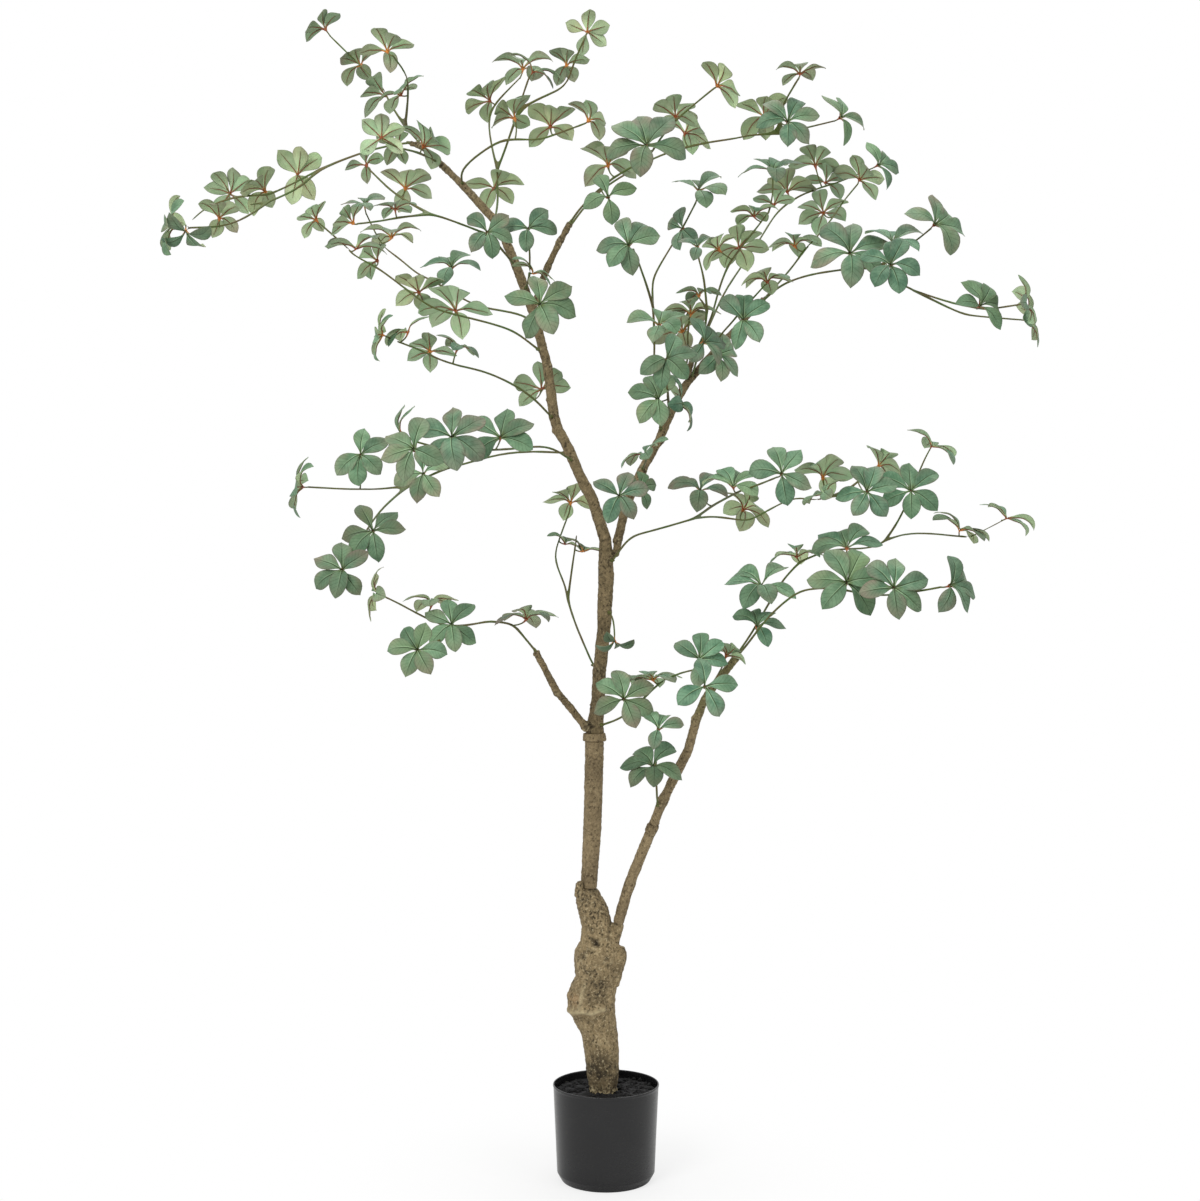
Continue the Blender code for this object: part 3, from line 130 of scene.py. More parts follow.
# ---------------------------------------------------------------- camera, light and stage
LENS, SENSOR = 52.8, 36.0
CAMERA_PLACE = (-0.0092, -2.71, 0.8885)
LAMPS = (  # name, place, height aimed at, side, watts
    ("key", (-1.4, -2.3, 2.5), 1.1, 1.3, 52.0),
    ("fill", (2.2, -2.0, 1.8), 1.1, 1.8, 20.0),
    ("top", (0.2, 0.5, 3.3), 1.2, 2.0, 34.0),
)
WORLD_FILL = 0.52  # the strength of the world's light on the object
FLOOR_REACH = 9.0
FLOOR_SHADOW = (0.09, 0.45)  # from the pot's middle, where the floor fades into pure white


def build_camera():
    camera = link("camera", bpy.data.cameras.new("camera"))
    camera.data.lens = LENS
    camera.data.sensor_width = SENSOR
    camera.data.clip_end = 50.0
    camera.location = CAMERA_PLACE
    camera.rotation_euler = (math.radians(90.0), 0.0, 0.0)
    bpy.context.scene.camera = camera


def build_lamps():
    middle = (cad_box[0].x + cad_box[1].x) / 2
    for name, place, height, side, watts in LAMPS:
        lamp = link(name, bpy.data.lights.new(name, "AREA"))
        lamp.data.shape = "SQUARE"
        lamp.data.size = side
        lamp.data.energy = watts
        lamp.location = place
        way = Vector((middle, 0.0, height)) - Vector(place)
        lamp.rotation_mode = "QUATERNION"
        lamp.rotation_quaternion = way.to_track_quat("-Z", "Y")
        lamp.visible_camera = False


class Shader:
    """A material (or world) node tree, built a node at a time."""

    def __init__(self, tree):
        self.tree = tree
        tree.nodes.clear()

    def put(self, socket, value):
        if isinstance(value, bpy.types.NodeSocket):
            self.tree.links.new(value, socket)
        elif value is not None:
            socket.default_value = value

    def node(self, kind, inputs=(), **settings):
        made = self.tree.nodes.new(kind)
        for key, value in settings.items():
            setattr(made, key, value)
        for key, value in dict(inputs).items():
            self.put(made.inputs[key], value)
        return made

    def math(self, operation, a, b=None, c=None, clamp=False):
        made = self.node("ShaderNodeMath", operation=operation, use_clamp=clamp)
        for socket, value in zip(made.inputs, (a, b, c)):
            self.put(socket, value)
        return made.outputs[0]

    def times(self, first, *others):
        for other in others:
            first = self.math("MULTIPLY", first, other)
        return first

    def span(self, value, low, high, to_low=0.0, to_high=1.0, smooth=True):
        """Maps low..high onto to_low..to_high, clamped."""
        kind = "SMOOTHSTEP" if smooth else "LINEAR"
        made = self.node("ShaderNodeMapRange", interpolation_type=kind, clamp=True)
        for socket, number in zip(made.inputs, (value, low, high, to_low, to_high)):
            self.put(socket, number)
        return made.outputs[0]

    def coats(self, base, *coats):
        """Mixes colours over a base in turn, each given as (share, colour)."""
        for share, colour in coats:
            made = self.node("ShaderNodeMix", {0: share, 6: base, 7: colour}, data_type="RGBA")
            base = made.outputs[2]
        return base

    def place(self):
        return self.node("ShaderNodeTexCoord").outputs["Object"]

    def mapped(self, where, scale, turn=(0.0, 0.0, 0.0)):
        return self.node("ShaderNodeMapping", {
            "Vector": where, "Scale": scale, "Rotation": turn}).outputs[0]

    def noise(self, where, scale, detail=3.0, rough=0.55):
        return self.node("ShaderNodeTexNoise", {
            "Vector": where, "Scale": scale, "Detail": detail, "Roughness": rough}).outputs[0]

    def fields(self, name):
        """The three values of a point field."""
        vector = self.node("ShaderNodeAttribute", attribute_name=name).outputs["Vector"]
        return self.node("ShaderNodeSeparateXYZ", {0: vector}).outputs

    def bump(self, height, strength, distance):
        return self.node("ShaderNodeBump", {
            "Height": height, "Strength": strength, "Distance": distance}).outputs[0]

    def close(self, colour, roughness, normal, **fixed):
        """Ends a material in one Principled node; fixed values go straight on its sockets."""
        inputs = {"Base Color": colour, "Roughness": roughness, "Normal": normal}
        inputs.update({key.replace("_", " "): value for key, value in fixed.items()})
        body = self.node("ShaderNodeBsdfPrincipled", inputs)
        self.node("ShaderNodeOutputMaterial", {"Surface": body.outputs[0]})


def new_material(name):
    """A material, its shader and the place on the object."""
    made = bpy.data.materials.new(name)
    made.use_nodes = True
    shader = Shader(made.node_tree)
    return made, shader, shader.place()


def build_world():
    world = bpy.data.worlds.new("world")
    bpy.context.scene.world = world
    world.use_nodes = True
    shader = Shader(world.node_tree)
    path = shader.node("ShaderNodeLightPath").outputs
    seen = shader.math("MAXIMUM", path["Is Camera Ray"], path["Is Glossy Ray"])
    seen = shader.math("MAXIMUM", seen, path["Is Transmission Ray"])
    strength = shader.span(seen, 0.0, 1.0, WORLD_FILL, 1.0, smooth=False)
    back = shader.node("ShaderNodeBackground", {"Color": (1, 1, 1, 1), "Strength": strength})
    shader.node("ShaderNodeOutputWorld", {"Surface": back.outputs[0]})


def floor_material():
    """White to the camera, but for the soft shadow about the pot."""
    made, shader, _ = new_material("floor_white")
    place = shader.node("ShaderNodeNewGeometry").outputs["Position"]
    run = shader.node("ShaderNodeVectorMath", {0: place}, operation="LENGTH").outputs["Value"]
    path = shader.node("ShaderNodeLightPath").outputs
    share = shader.times(shader.span(run, *FLOOR_SHADOW, 0.74, 1.0), path["Is Camera Ray"])
    dust = shader.noise(place, 40.0, 4.0)
    colour = shader.coats(srgb(240, 240, 239), (dust, srgb(246, 246, 246)))
    matt = shader.node("ShaderNodeBsdfPrincipled", {"Base Color": colour, "Roughness": 0.9})
    glow = shader.node("ShaderNodeEmission", {"Color": (1, 1, 1, 1), "Strength": 1.0})
    both = shader.node("ShaderNodeMixShader", {
        0: share, 1: matt.outputs[0], 2: glow.outputs[0]})
    shader.node("ShaderNodeOutputMaterial", {"Surface": both.outputs[0]})
    return made


def build_floor():
    form = bmesh.new()
    bmesh.ops.create_grid(form, x_segments=8, y_segments=8, size=FLOOR_REACH)
    mesh = mesh_of(form, "floor")
    mesh.materials.append(floor_material())
    floor = link("floor", mesh)
    floor.location.z = cad_box[0].z


# ---------------------------------------------------------------- materials
LEAF_GREEN = srgb(72, 112, 86)
LEAF_PALE = srgb(112, 148, 118)
LEAF_OLIVE = srgb(114, 136, 92)
LEAF_MAUVE = srgb(150, 130, 116)
LEAF_RIB = srgb(46, 66, 34)
LEAF_EDGE = srgb(106, 98, 82)
LEAF_ROOT = srgb(96, 104, 50)
LEAF_GLINT = srgb(168, 196, 156)
UNDER_GREEN = srgb(153, 189, 144)
UNDER_PALE = srgb(170, 192, 156)
UNDER_OLIVE = srgb(178, 186, 132)
RIB_RED = srgb(136, 66, 28)
RIB_ORANGE = srgb(198, 122, 44)
RIB_DARK = srgb(112, 66, 38)
RIB_END = srgb(112, 104, 70)
STEM_OLIVE = srgb(66, 92, 26)
STEM_BROWN = srgb(88, 76, 32)
STEM_DARK = srgb(46, 48, 26)
BARK_GREEN = srgb(88, 94, 50)
BARK_WARM = srgb(170, 132, 92)
BARK_CREAM = srgb(190, 176, 140)


def leaf_veins(shader, side, t):
    """0..1, one on the side veins, which run forward from the midrib to the margin."""
    bend = shader.math("POWER", side, 0.8)
    phase = shader.math("MULTIPLY_ADD", bend, -1.9, shader.times(t, 9.0))
    wave = shader.math("FRACT", phase)
    peak = shader.math("ABSOLUTE", shader.math("SUBTRACT", wave, 0.5))
    return shader.span(peak, 0.0, 0.16, 1.0, 0.0)


def leaf_material(name, under):
    """One side of a leaf.  The upper side has a dark midrib in a groove and a glint beside it."""
    made, shader, place = new_material(name)
    span, times = shader.span, shader.times
    u, t, across = shader.fields("leaf")
    yellow, mauve, light = shader.fields("tone")
    green, pale, olive, vein, root = (
        (UNDER_GREEN, UNDER_PALE, UNDER_OLIVE, UNDER_PALE, UNDER_OLIVE) if under
        else (LEAF_GREEN, LEAF_PALE, LEAF_OLIVE, LEAF_RIB, LEAF_ROOT))
    side = shader.math("ABSOLUTE", u)
    cloud = shader.noise(place, 55.0)
    patch = shader.noise(place, 38.0, 2.0)
    fine = shader.noise(place, 420.0, 3.0, 0.6)
    veins = leaf_veins(shader, side, t)
    # Mauve gathers towards the edge and the tip.
    edge = shader.math("MAXIMUM", span(side, 0.15, 1.0, 0.15, 0.8), span(t, 0.35, 1.0, 0.0, 0.9))
    edge = times(edge, span(t, 0.15, 0.5), span(patch, 0.3, 0.65, 0.25, 1.0))
    base = shader.coats(
        green,
        (span(cloud, 0.3, 0.7), pale),
        (times(yellow, span(patch, 0.25, 0.75, 0.45, 1.0)), olive),
        (shader.math("MULTIPLY", edge, mauve, clamp=True), LEAF_MAUVE),
        (times(span(side, 0.86, 1.0, 0.0, 0.55), span(t, 0.2, 0.4)), LEAF_EDGE),
        (times(veins, span(side, 0.9, 1.0, 0.32, 0.0)), vein),
        (span(t, 0.06, 0.26, 0.75, 0.0), root))
    rib = times(span(shader.math("ABSOLUTE", across), 0.45, 1.1, 1.0, 0.0),
                span(t, 0.45, 0.9, 0.9, 0.2))
    if not under:
        glint = times(span(across, 0.5, 0.9), span(across, 1.0, 1.9, 1.0, 0.0),
                      span(t, 0.25, 0.8, 0.65, 0.1))
        base = shader.coats(base, (rib, LEAF_RIB), (glint, LEAF_GLINT))
    # Fine grain, long streaks that differ from leaf to leaf, and one half lighter and the
    # other darker: painted light and shade on the two sides of the fold.
    lengthwise = shader.node("ShaderNodeCombineXYZ", {
        0: times(across, 1.1), 1: times(t, 3.0), 2: times(light, 37.0)})
    streaks = shader.noise(lengthwise.outputs[0], 1.0, 3.0, 0.6)
    tone = times(span(fine, 0.25, 0.75, 0.94, 1.06, smooth=False),
                 span(streaks, 0.3, 0.7, 0.91, 1.09), span(u, -0.2, 0.2, 0.94, 1.06), light)
    base = shader.node("ShaderNodeVectorMath", {0: base, 1: tone}, operation="MULTIPLY")
    height = shader.math("MULTIPLY_ADD", veins, 0.5 if under else -0.5, fine)
    height = shader.math("MULTIPLY_ADD", rib, -0.8, height)
    shader.close(base.outputs[0], span(fine, 0.2, 0.8, 0.58, 0.72),
                 shader.bump(height, 0.08 if under else 0.22, 0.0003),
                 Specular_IOR_Level=0.28, Sheen_Weight=0.03, Sheen_Roughness=0.5)
    return made


def stalk_material():
    """Stalks, hubs and ribs: olive at the stem, orange to red-brown at the hub."""
    made, shader, place = new_material("stalk")
    span = shader.span
    warm, rib, tone = shader.fields("stalk")
    patch = shader.noise(place, 160.0)
    fine = shader.noise(place, 900.0, 2.0)
    hot = shader.coats(RIB_RED, (span(tone, 0.45, 0.85), RIB_ORANGE),
                       (span(patch, 0.35, 0.7, 0.0, 0.35), RIB_RED),
                       (span(rib, 0.08, 0.32), RIB_DARK))
    share = shader.math("ADD", warm, span(patch, 0.3, 0.7, -0.1, 0.1))
    colour = shader.coats(STEM_OLIVE, (patch, STEM_BROWN), (span(share, 0.35, 0.75), hot),
                          (span(rib, 0.55, 1.0), RIB_END))
    shader.close(colour, span(patch, 0.2, 0.8, 0.45, 0.62), shader.bump(fine, 0.3, 0.0003))
    return made


def bark_material(name, tan, pale, dark, fleck, grain):
    """Moulded bark: tan to pale in patches, with pits and grit of dark, grains of fleck, painted
    shade and highlights.
    """
    made, shader, place = new_material(name)
    span, times = shader.span, shader.times
    painted_hollow_shade, broad, green = shader.fields("bark")
    shade, cream, warm = shader.fields("marks_and_painted_light")
    patch = shader.noise(place, 70.0, 4.0, 0.6)
    fine = shader.noise(place, 620.0, 4.0, 0.65)
    mottle = shader.noise(place, 270.0, 5.0, 0.75)
    crowd = shader.noise(place, 150.0, 3.0, 0.6)
    speck = shader.node("ShaderNodeTexVoronoi", {
        "Vector": shader.mapped(place, (1.0, 1.0, 0.55), (0.3, 0.2, 0.0)),
        "Scale": 640.0}).outputs[0]
    pit = times(span(speck, 0.10, 0.42, 1.0, 0.0), span(crowd, 0.42, 0.60, 0.0, 0.85))
    # Pits and grit are worn away where the bark is cream, which is torn bark or a painted
    # highlight, and from patch to patch.
    worn = times(span(cream, 0.1, 0.7, 1.0, 0.25), span(patch, 0.38, 0.60, 0.50, 1.0))
    colour = shader.coats(
        tan,
        (span(patch, 0.3, 0.7), pale),
        (span(broad, 0.0, 1.0, 0.0, 0.36), dark),
        (times(green, 0.8), BARK_GREEN),
        (times(warm, 0.6), BARK_WARM),
        # torn cream bark, and painted highlights on the trunk's foot
        (times(cream, 0.8), BARK_CREAM),
        # dark marks, and painted shade and shadow on the trunk's foot
        (times(shade, 0.95), dark),
        # painted shade, darker in the hollows of the relief
        (span(painted_hollow_shade, 0.25, 1.0, 0.0, 0.85), dark),
        (times(pit, worn), dark),
        (span(fine, 0.45, 0.80, 0.0, 0.35), pale),
        (times(span(mottle, 0.34, 0.47, grain, 0.0), worn), dark),
        (span(mottle, 0.53, 0.66, 0.0, grain), fleck))
    height = shader.math("MULTIPLY_ADD", pit, -1.2, fine)
    height = shader.math("MULTIPLY_ADD", mottle, 1.5, height)
    shader.close(colour, span(fine, 0.2, 0.8, 0.72, 0.94), shader.bump(height, 0.8, 0.0013),
                 Specular_IOR_Level=0.25)
    return made


def pot_material():
    """Smooth black plastic with faint level scuffs."""
    made, shader, place = new_material("pot_plastic")
    span = shader.span
    cloud = shader.noise(place, 9.0)
    scuff = shader.noise(shader.mapped(place, (1.0, 1.0, 5.0)), 90.0, 5.0, 0.7)
    fine = shader.noise(place, 1400.0, 2.0)
    colour = shader.coats(srgb(20, 20, 21), (span(cloud, 0.3, 0.7), srgb(26, 26, 27)),
                          (span(scuff, 0.62, 0.8, 0.0, 0.35), srgb(66, 66, 66)))
    rough = shader.math("ADD", span(cloud, 0.2, 0.8, 0.20, 0.28), span(scuff, 0.5, 0.8, 0.0, 0.12))
    shader.close(colour, rough, shader.bump(fine, 0.25, 0.0002), Specular_IOR_Level=0.40)
    return made


def stem_material():
    made, shader, place = new_material("stem_olive")
    span = shader.span
    patch = shader.noise(place, 26.0)
    fine = shader.noise(place, 700.0)
    colour = shader.coats(STEM_OLIVE, (span(patch, 0.3, 0.7), STEM_BROWN),
                          (span(fine, 0.45, 0.8, 0.0, 0.4), STEM_DARK))
    shader.close(colour, span(fine, 0.2, 0.8, 0.48, 0.66), shader.bump(fine, 0.35, 0.0004))
    return made


def soil_material():
    made, shader, place = new_material("soil_crumb")
    span = shader.span
    patch = shader.noise(place, 120.0, 4.0)
    fine = shader.noise(place, 900.0)
    colour = shader.coats(srgb(5, 5, 6), (span(patch, 0.3, 0.7), srgb(14, 13, 13)),
                          (span(fine, 0.60, 0.80, 0.0, 0.5), srgb(60, 58, 56)))
    shader.close(colour, span(patch, 0.3, 0.7, 0.6, 0.85), shader.bump(fine, 0.7, 0.0008),
                 Specular_IOR_Level=0.25)
    return made


def cement_material():
    made, shader, place = new_material("cement")
    patch = shader.noise(place, 45.0, 5.0, 0.6)
    fine = shader.noise(place, 700.0)
    colour = shader.coats(srgb(120, 118, 112), (patch, srgb(164, 161, 154)))
    shader.close(colour, shader.span(fine, 0.2, 0.8, 0.8, 0.95), shader.bump(fine, 0.6, 0.0008))
    return made


# ---------------------------------------------------------------- reading the frame's meshes
def welded(node):
    form = bmesh.new()
    form.from_mesh(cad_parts[node].data)
    bmesh.ops.remove_doubles(form, verts=form.verts, dist=WELD)
    return form


def around(vertex):
    return [edge.other_vert(vertex) for edge in vertex.link_edges]


def read_leaf(tip):
    """A leaf read from its tip vertex: its corners, hub, length and upper side, or None."""
    near = around(tip)
    if len(near) != 3:
        return None
    for i in range(3):
        keel, left, right = near[i], near[i - 1], near[i - 2]
        middle = (left.co + right.co) / 2
        length = (tip.co - middle).length / (1.0 - LEAF_WIDEST)
        width = (left.co - right.co).length
        if length < LEAF_SHORTEST or abs(width / length - LEAF_WIDTH) > RATIO_SLACK:
            continue
        if abs((keel.co - middle).length - LEAF_KEEL) > KEEL_SLACK:
            continue
        hub = middle + (middle - tip.co) * LEAF_WIDEST / (1.0 - LEAF_WIDEST)
        upper = (middle - keel.co).normalized()
        return {"verts": [tip, left, right, keel], "hub": hub, "length": length,
                "tip": tip.co.copy(), "upper": upper}
    return None


SAME_POST = 0.02  # radians; corners closer together than this belong to one post
WIDEST_GAP = 2.2  # from a post to the leaf that is mirrored about it, at most
ROOM_FOR_LEAF = 0.6  # between two posts, if no tip was found there


def find_whorls(form):
    """The whorls of a spray: hub, axis and leaves, each leaf with its tip and upper side."""
    whorls = []
    for vertex in form.verts:
        leaf = read_leaf(vertex)
        if leaf is None:
            continue
        for whorl in whorls:
            if (whorl["hub"] - leaf["hub"]).length < SAME_HUB:
                whorl["leaves"].append(leaf)
                break
        else:
            whorls.append({"hub": leaf["hub"], "leaves": [leaf]})
    for whorl in whorls:
        whorl["corners"] = [v for v in form.verts
                            if abs((v.co - whorl["hub"]).length - HUB_CORNER) < CORNER_SLACK]
    whorls = [whorl for whorl in whorls if len(whorl["corners"]) > 4]
    for whorl in whorls:
        complete_whorl(form, whorl)
    return whorls


def flat_axes(axis):
    """Two directions square to an axis, from which turns about it are counted."""
    side = axis.orthogonal().normalized()
    return side, axis.cross(side)


def complete_whorl(form, whorl):
    """Adds the whorl's axis, and the leaves whose edges cross another leaf.

    The hub's posts stand half-way between neighbouring leaves, so a leaf that can't be
    read from its corners is the mirror image of its neighbour about the post between."""
    hub, leaves = whorl["hub"], whorl["leaves"]
    ways = [(leaf["tip"] - hub).normalized() for leaf in leaves]
    sides = [way.cross(leaf["upper"]) for way, leaf in zip(ways, leaves)]
    total = sum((leaf["upper"] for leaf in leaves), Vector())
    axis = max((a.cross(b) for a in sides for b in sides), key=lambda v: v.length).normalized()
    axis = axis if axis.dot(total) > 0 else -axis
    whorl["axis"] = axis
    side, other = flat_axes(axis)

    def turn(way):
        return math.atan2(way.dot(other), way.dot(side)) % TAU

    turns = [turn(way) for way in ways]
    posts = sorted(turn(corner.co - hub) for corner in whorl["corners"])
    posts = [post for i, post in enumerate(posts) if i == 0 or post - posts[i - 1] > SAME_POST]
    for _ in posts:
        for first, second in zip(posts, posts[1:] + [posts[0] + TAU]):
            if any((t - first) % TAU < second - first for t in turns):
                continue
            after = [(t - second) % TAU for t in turns if 0.0 < (t - second) % TAU < WIDEST_GAP]
            before = [(first - t) % TAU for t in turns if 0.0 < (first - t) % TAU < WIDEST_GAP]
            if after:
                made = 2 * second - (second + min(after))
            elif before:
                made = 2 * first - (first - min(before))
            else:
                continue
            turns.append(made % TAU)
            leaf = guessed_leaf(form, whorl, side * math.cos(made) + other * math.sin(made))
            if leaf["verts"] or second - first > ROOM_FOR_LEAF:
                leaves.append(leaf)


def guessed_leaf(form, whorl, way):
    """The leaf that runs about a given way, through its tip vertex if that can be found."""
    hub, length = whorl["hub"], whorl["leaves"][0]["length"]
    known = {vertex for leaf in whorl["leaves"] for vertex in leaf["verts"]}
    near = [vertex for vertex in form.verts
            if abs((vertex.co - hub).length - length) < TIP_SLACK and vertex not in known
            and (vertex.co - hub).dot(way) > 0.95 * length]
    tip = max(near, key=lambda vertex: (vertex.co - hub).dot(way)) if near else None
    if tip is not None:
        way = (tip.co - hub).normalized()
    across = way.cross(whorl["axis"]).normalized()
    return {"verts": [tip] if tip is not None else [], "hub": hub, "length": length,
            "tip": hub + way * length, "upper": across.cross(way).normalized(),
            "slack": GUESS_SLACK if tip is not None else 4 * GUESS_SLACK}


LEAF_GAP = math.radians(44.0)  # neighbours closer than this are turned apart
SPREAD_ROUNDS = 40


def spread(whorl):
    """The whorl's leaves as they are drawn: those too close together turned apart."""
    hub, axis = whorl["hub"], whorl["axis"]
    side, other = flat_axes(axis)
    turned = sorted(
        (math.atan2((leaf["tip"] - hub).dot(other), (leaf["tip"] - hub).dot(side)), i)
        for i, leaf in enumerate(whorl["leaves"]))
    first = [turn for turn, _ in turned]
    least = min(LEAF_GAP, 0.9 * TAU / len(first))
    turns = list(first)
    for _ in range(SPREAD_ROUNDS):
        for k in range(len(turns)):
            after = (k + 1) % len(turns)
            gap = turns[after] - turns[k] + (TAU if after <= k else 0.0)
            if gap < least:
                turns[k] -= (least - gap) / 2
                turns[after] += (least - gap) / 2
    drawn = list(whorl["leaves"])
    for (_, i), old, new in zip(turned, first, turns):
        turn = Matrix.Rotation(new - old, 3, axis)
        leaf = drawn[i]
        drawn[i] = dict(leaf, tip=hub + turn @ (leaf["tip"] - hub), upper=turn @ leaf["upper"])
    return drawn


# ---------------------------------------------------------------- leaves
# A leaf's rows along it, its half width at each as a share of the widest, and its columns.
ROWS = (0.03, 0.08, 0.14, 0.20, 0.27, 0.35, 0.44, 0.53, 0.62, 0.71, 0.80, 0.87, 0.925, 0.965, 1.0)
HALF = (0.10, 0.105, 0.15, 0.25, 0.43, 0.64, 0.84, 0.96, 1.0, 0.94, 0.79, 0.58, 0.36, 0.17, 0.02)
COLUMNS = (-1.0, -0.86, -0.6, -0.3, 0.0, 0.3, 0.6, 0.86, 1.0)
LEAF_THICK = 0.00045
LEAF_REACH = 0.98  # the drawn leaf's length as a share of the CAD leaf's
RIB_SIDES = 5
UPPER, UNDER, STALK, STEM = range(4)  # the materials of a spray


class Patch:
    """Points, faces, material slots and point fields gathered for one mesh."""

    def __init__(self):
        self.points = []
        self.faces = []
        self.slots = []
        self.fields = {"leaf": [], "tone": [], "stalk": []}

    def add(self, points, faces, slot, leaf=None, tone=(0, 0, 1), stalk=None):
        first = len(self.points)
        count = len(points)
        self.points.extend(points)
        self.faces.extend(tuple(first + i for i in face) for face in faces)
        self.slots.extend([slot] * len(faces))
        self.fields["leaf"].extend(leaf or [(0.0, 0.0, 0.0)] * count)
        self.fields["tone"].extend([tone] * count)
        self.fields["stalk"].extend(stalk or [(0.0, 0.0, 0.0)] * count)

    def tube(self, rings, fields):
        """Adds a closed tube through rings of points."""
        self.add([point for one in rings for point in one], loft(rings), STALK, stalk=fields)

    def mesh(self, name):
        mesh = bpy.data.meshes.new(name)
        mesh.from_pydata(self.points, [], self.faces)
        mesh.polygons.foreach_set("material_index", self.slots)
        for field, values in self.fields.items():
            put_field(mesh, field, values)
        return mesh


def leaf_lines(leaf, rise, dice):
    """A leaf's centre line: at each row its place, its way along, across and up.

    It leaves the hub rising by rise, bends over and droops at its tip."""
    hub, upper = leaf["hub"], leaf["upper"]
    length = leaf["length"] * LEAF_REACH
    way = (leaf["tip"] - hub).normalized()
    across = way.cross(upper).normalized()
    up_angle = rise + dice.uniform(-0.24, 0.24)
    droop = dice.uniform(0.30, 1.20)
    sway = dice.uniform(-0.05, 0.05)
    twist = dice.uniform(-0.42, 0.42)
    tip = hub + way * length - upper * (length * dice.uniform(0.0, 0.10))
    first = hub + (way * math.cos(up_angle) + upper * math.sin(up_angle)) * (0.42 * length)
    second = tip - (way * math.cos(droop) - upper * math.sin(droop)) * (0.36 * length)
    places = []
    for t in ROWS:
        s = 1.0 - t
        place = hub * s ** 3 + first * (3 * s * s * t) + second * (3 * s * t * t) + tip * t ** 3
        places.append(place + across * (length * sway * math.sin(math.pi * t)))
    frames = []
    for i, place in enumerate(places):
        ahead = places[min(i + 1, len(places) - 1)]
        behind = places[i - 1] if i else hub
        along = (ahead - behind).normalized()
        turned = Matrix.Rotation(twist * ROWS[i], 3, along) @ across
        side = (turned - along * turned.dot(along)).normalized()
        frames.append((place, along, side, side.cross(along)))
    return frames


def add_leaf(patch, leaf, tone, hub_tone, rise, dice):
    """A folded, cupped and rippled leaf of even thickness, with its rib."""
    frames = leaf_lines(leaf, rise, dice)
    half_width = leaf["length"] * LEAF_WIDTH / 2 * dice.uniform(0.94, 1.12)
    fold = dice.uniform(0.18, 0.56)
    cup = dice.uniform(0.05, 0.34)
    ripple = dice.uniform(0.02, 0.05)
    beat = dice.uniform(0.0, 6.28)
    fullness = dice.uniform(0.80, 1.20)
    shift = dice.uniform(0.84, 1.10)
    upper, lower, fields, spine = [], [], [], []
    for (place, along, side, face_up), t in zip(frames, ROWS):
        width = half_width * float(np.interp(t ** shift, ROWS, HALF)) ** fullness
        opened = fold * (1.0 - 0.45 * t)
        swell = half_width * 0.035 * math.sin(beat * 2.0 + 15.0 * t)
        spine.append((place + face_up * swell, along, side, face_up))
        for u in COLUMNS:
            rise = width * (opened * abs(u) - cup * t * u * u)
            rise += half_width * ripple * u * u * math.sin(beat + 11.0 * t + 1.7 * (u > 0))
            rise += swell * (1.0 - u * u)
            spot = place + side * (width * u) + face_up * rise
            thick = LEAF_THICK / 2 * (1.0 - 0.4 * abs(u))
            upper.append(spot + face_up * thick)
            lower.append(spot - face_up * thick)
            fields.append((u, t, 1000.0 * width * u))
    across, rows = len(COLUMNS), len(ROWS)
    count = across * rows
    top, under, rim = [], [], []
    for i in range(rows - 1):
        for j in range(across - 1):
            a = i * across + j
            top.append((a, a + 1, a + across + 1, a + across))
            under.append((count + a + across, count + a + across + 1, count + a + 1, count + a))
        left, right = i * across, i * across + across - 1
        rim.append((left, left + across, count + left + across, count + left))
        rim.append((right + across, right, count + right, count + right + across))
    for j in range(across - 1):
        a, b = j, (rows - 1) * across + j
        rim.append((a + 1, a, count + a, count + a + 1))
        rim.append((b, b + 1, count + b + 1, count + b))
    first = len(patch.faces)
    patch.add(upper + lower, top + under + rim, UNDER, fields * 2, tone)
    patch.slots[first:first + len(top)] = [UPPER] * len(top)
    add_rib(patch, spine, hub_tone, dice)


def ring(place, side, face_up, radius, sides, turn=0.0):
    """A ring of points about a place."""
    turns = [turn + TAU * k / sides for k in range(sides)]
    return [place + side * (radius * math.cos(one)) + face_up * (radius * math.sin(one))
            for one in turns]


def loft(rings):
    """Faces of a closed tube through rings of points, with a flat cap at each end."""
    sides = len(rings[0])
    faces = []
    for i in range(len(rings) - 1):
        for k in range(sides):
            a, b = i * sides + k, i * sides + (k + 1) % sides
            faces.append((a, b, b + sides, a + sides))
    faces.append(tuple(reversed(range(sides))))
    faces.append(tuple((len(rings) - 1) * sides + k for k in range(sides)))
    return faces


def add_rib(patch, frames, hub_tone, dice):
    """The stalk of a leaf, which runs on as the raised rib under it."""
    last = dice.choice((10, 10, 11, 11, 12))
    rings, fields = [], []
    for i in range(last + 1):
        place, along, side, face_up = frames[i]
        t = ROWS[i]
        share = i / last
        radius = 0.00075 * (1.0 - share) ** 0.6 + 0.00028
        sunk = place - face_up * (LEAF_THICK * 0.5 + radius * 0.60)
        rings.append(ring(sunk, side, face_up, radius, RIB_SIDES, 0.3))
        fields += [(1.0, share, hub_tone)] * RIB_SIDES
    patch.tube(rings, fields)


# ---------------------------------------------------------------- stalks and hubs
STALK_SIDES = 10
WARM_RUN = 0.016  # how far down from the hub the stalk is orange
# (share of the way from stem to hub, radius in mm)
STALK_STEPS = ((0.0, 1.30), (0.15, 1.15), (0.35, 1.08), (0.55, 1.10), (0.70, 1.22), (0.80, 1.45),
               (0.88, 1.80), (0.94, 2.25), (0.985, 2.75), (1.02, 2.95))


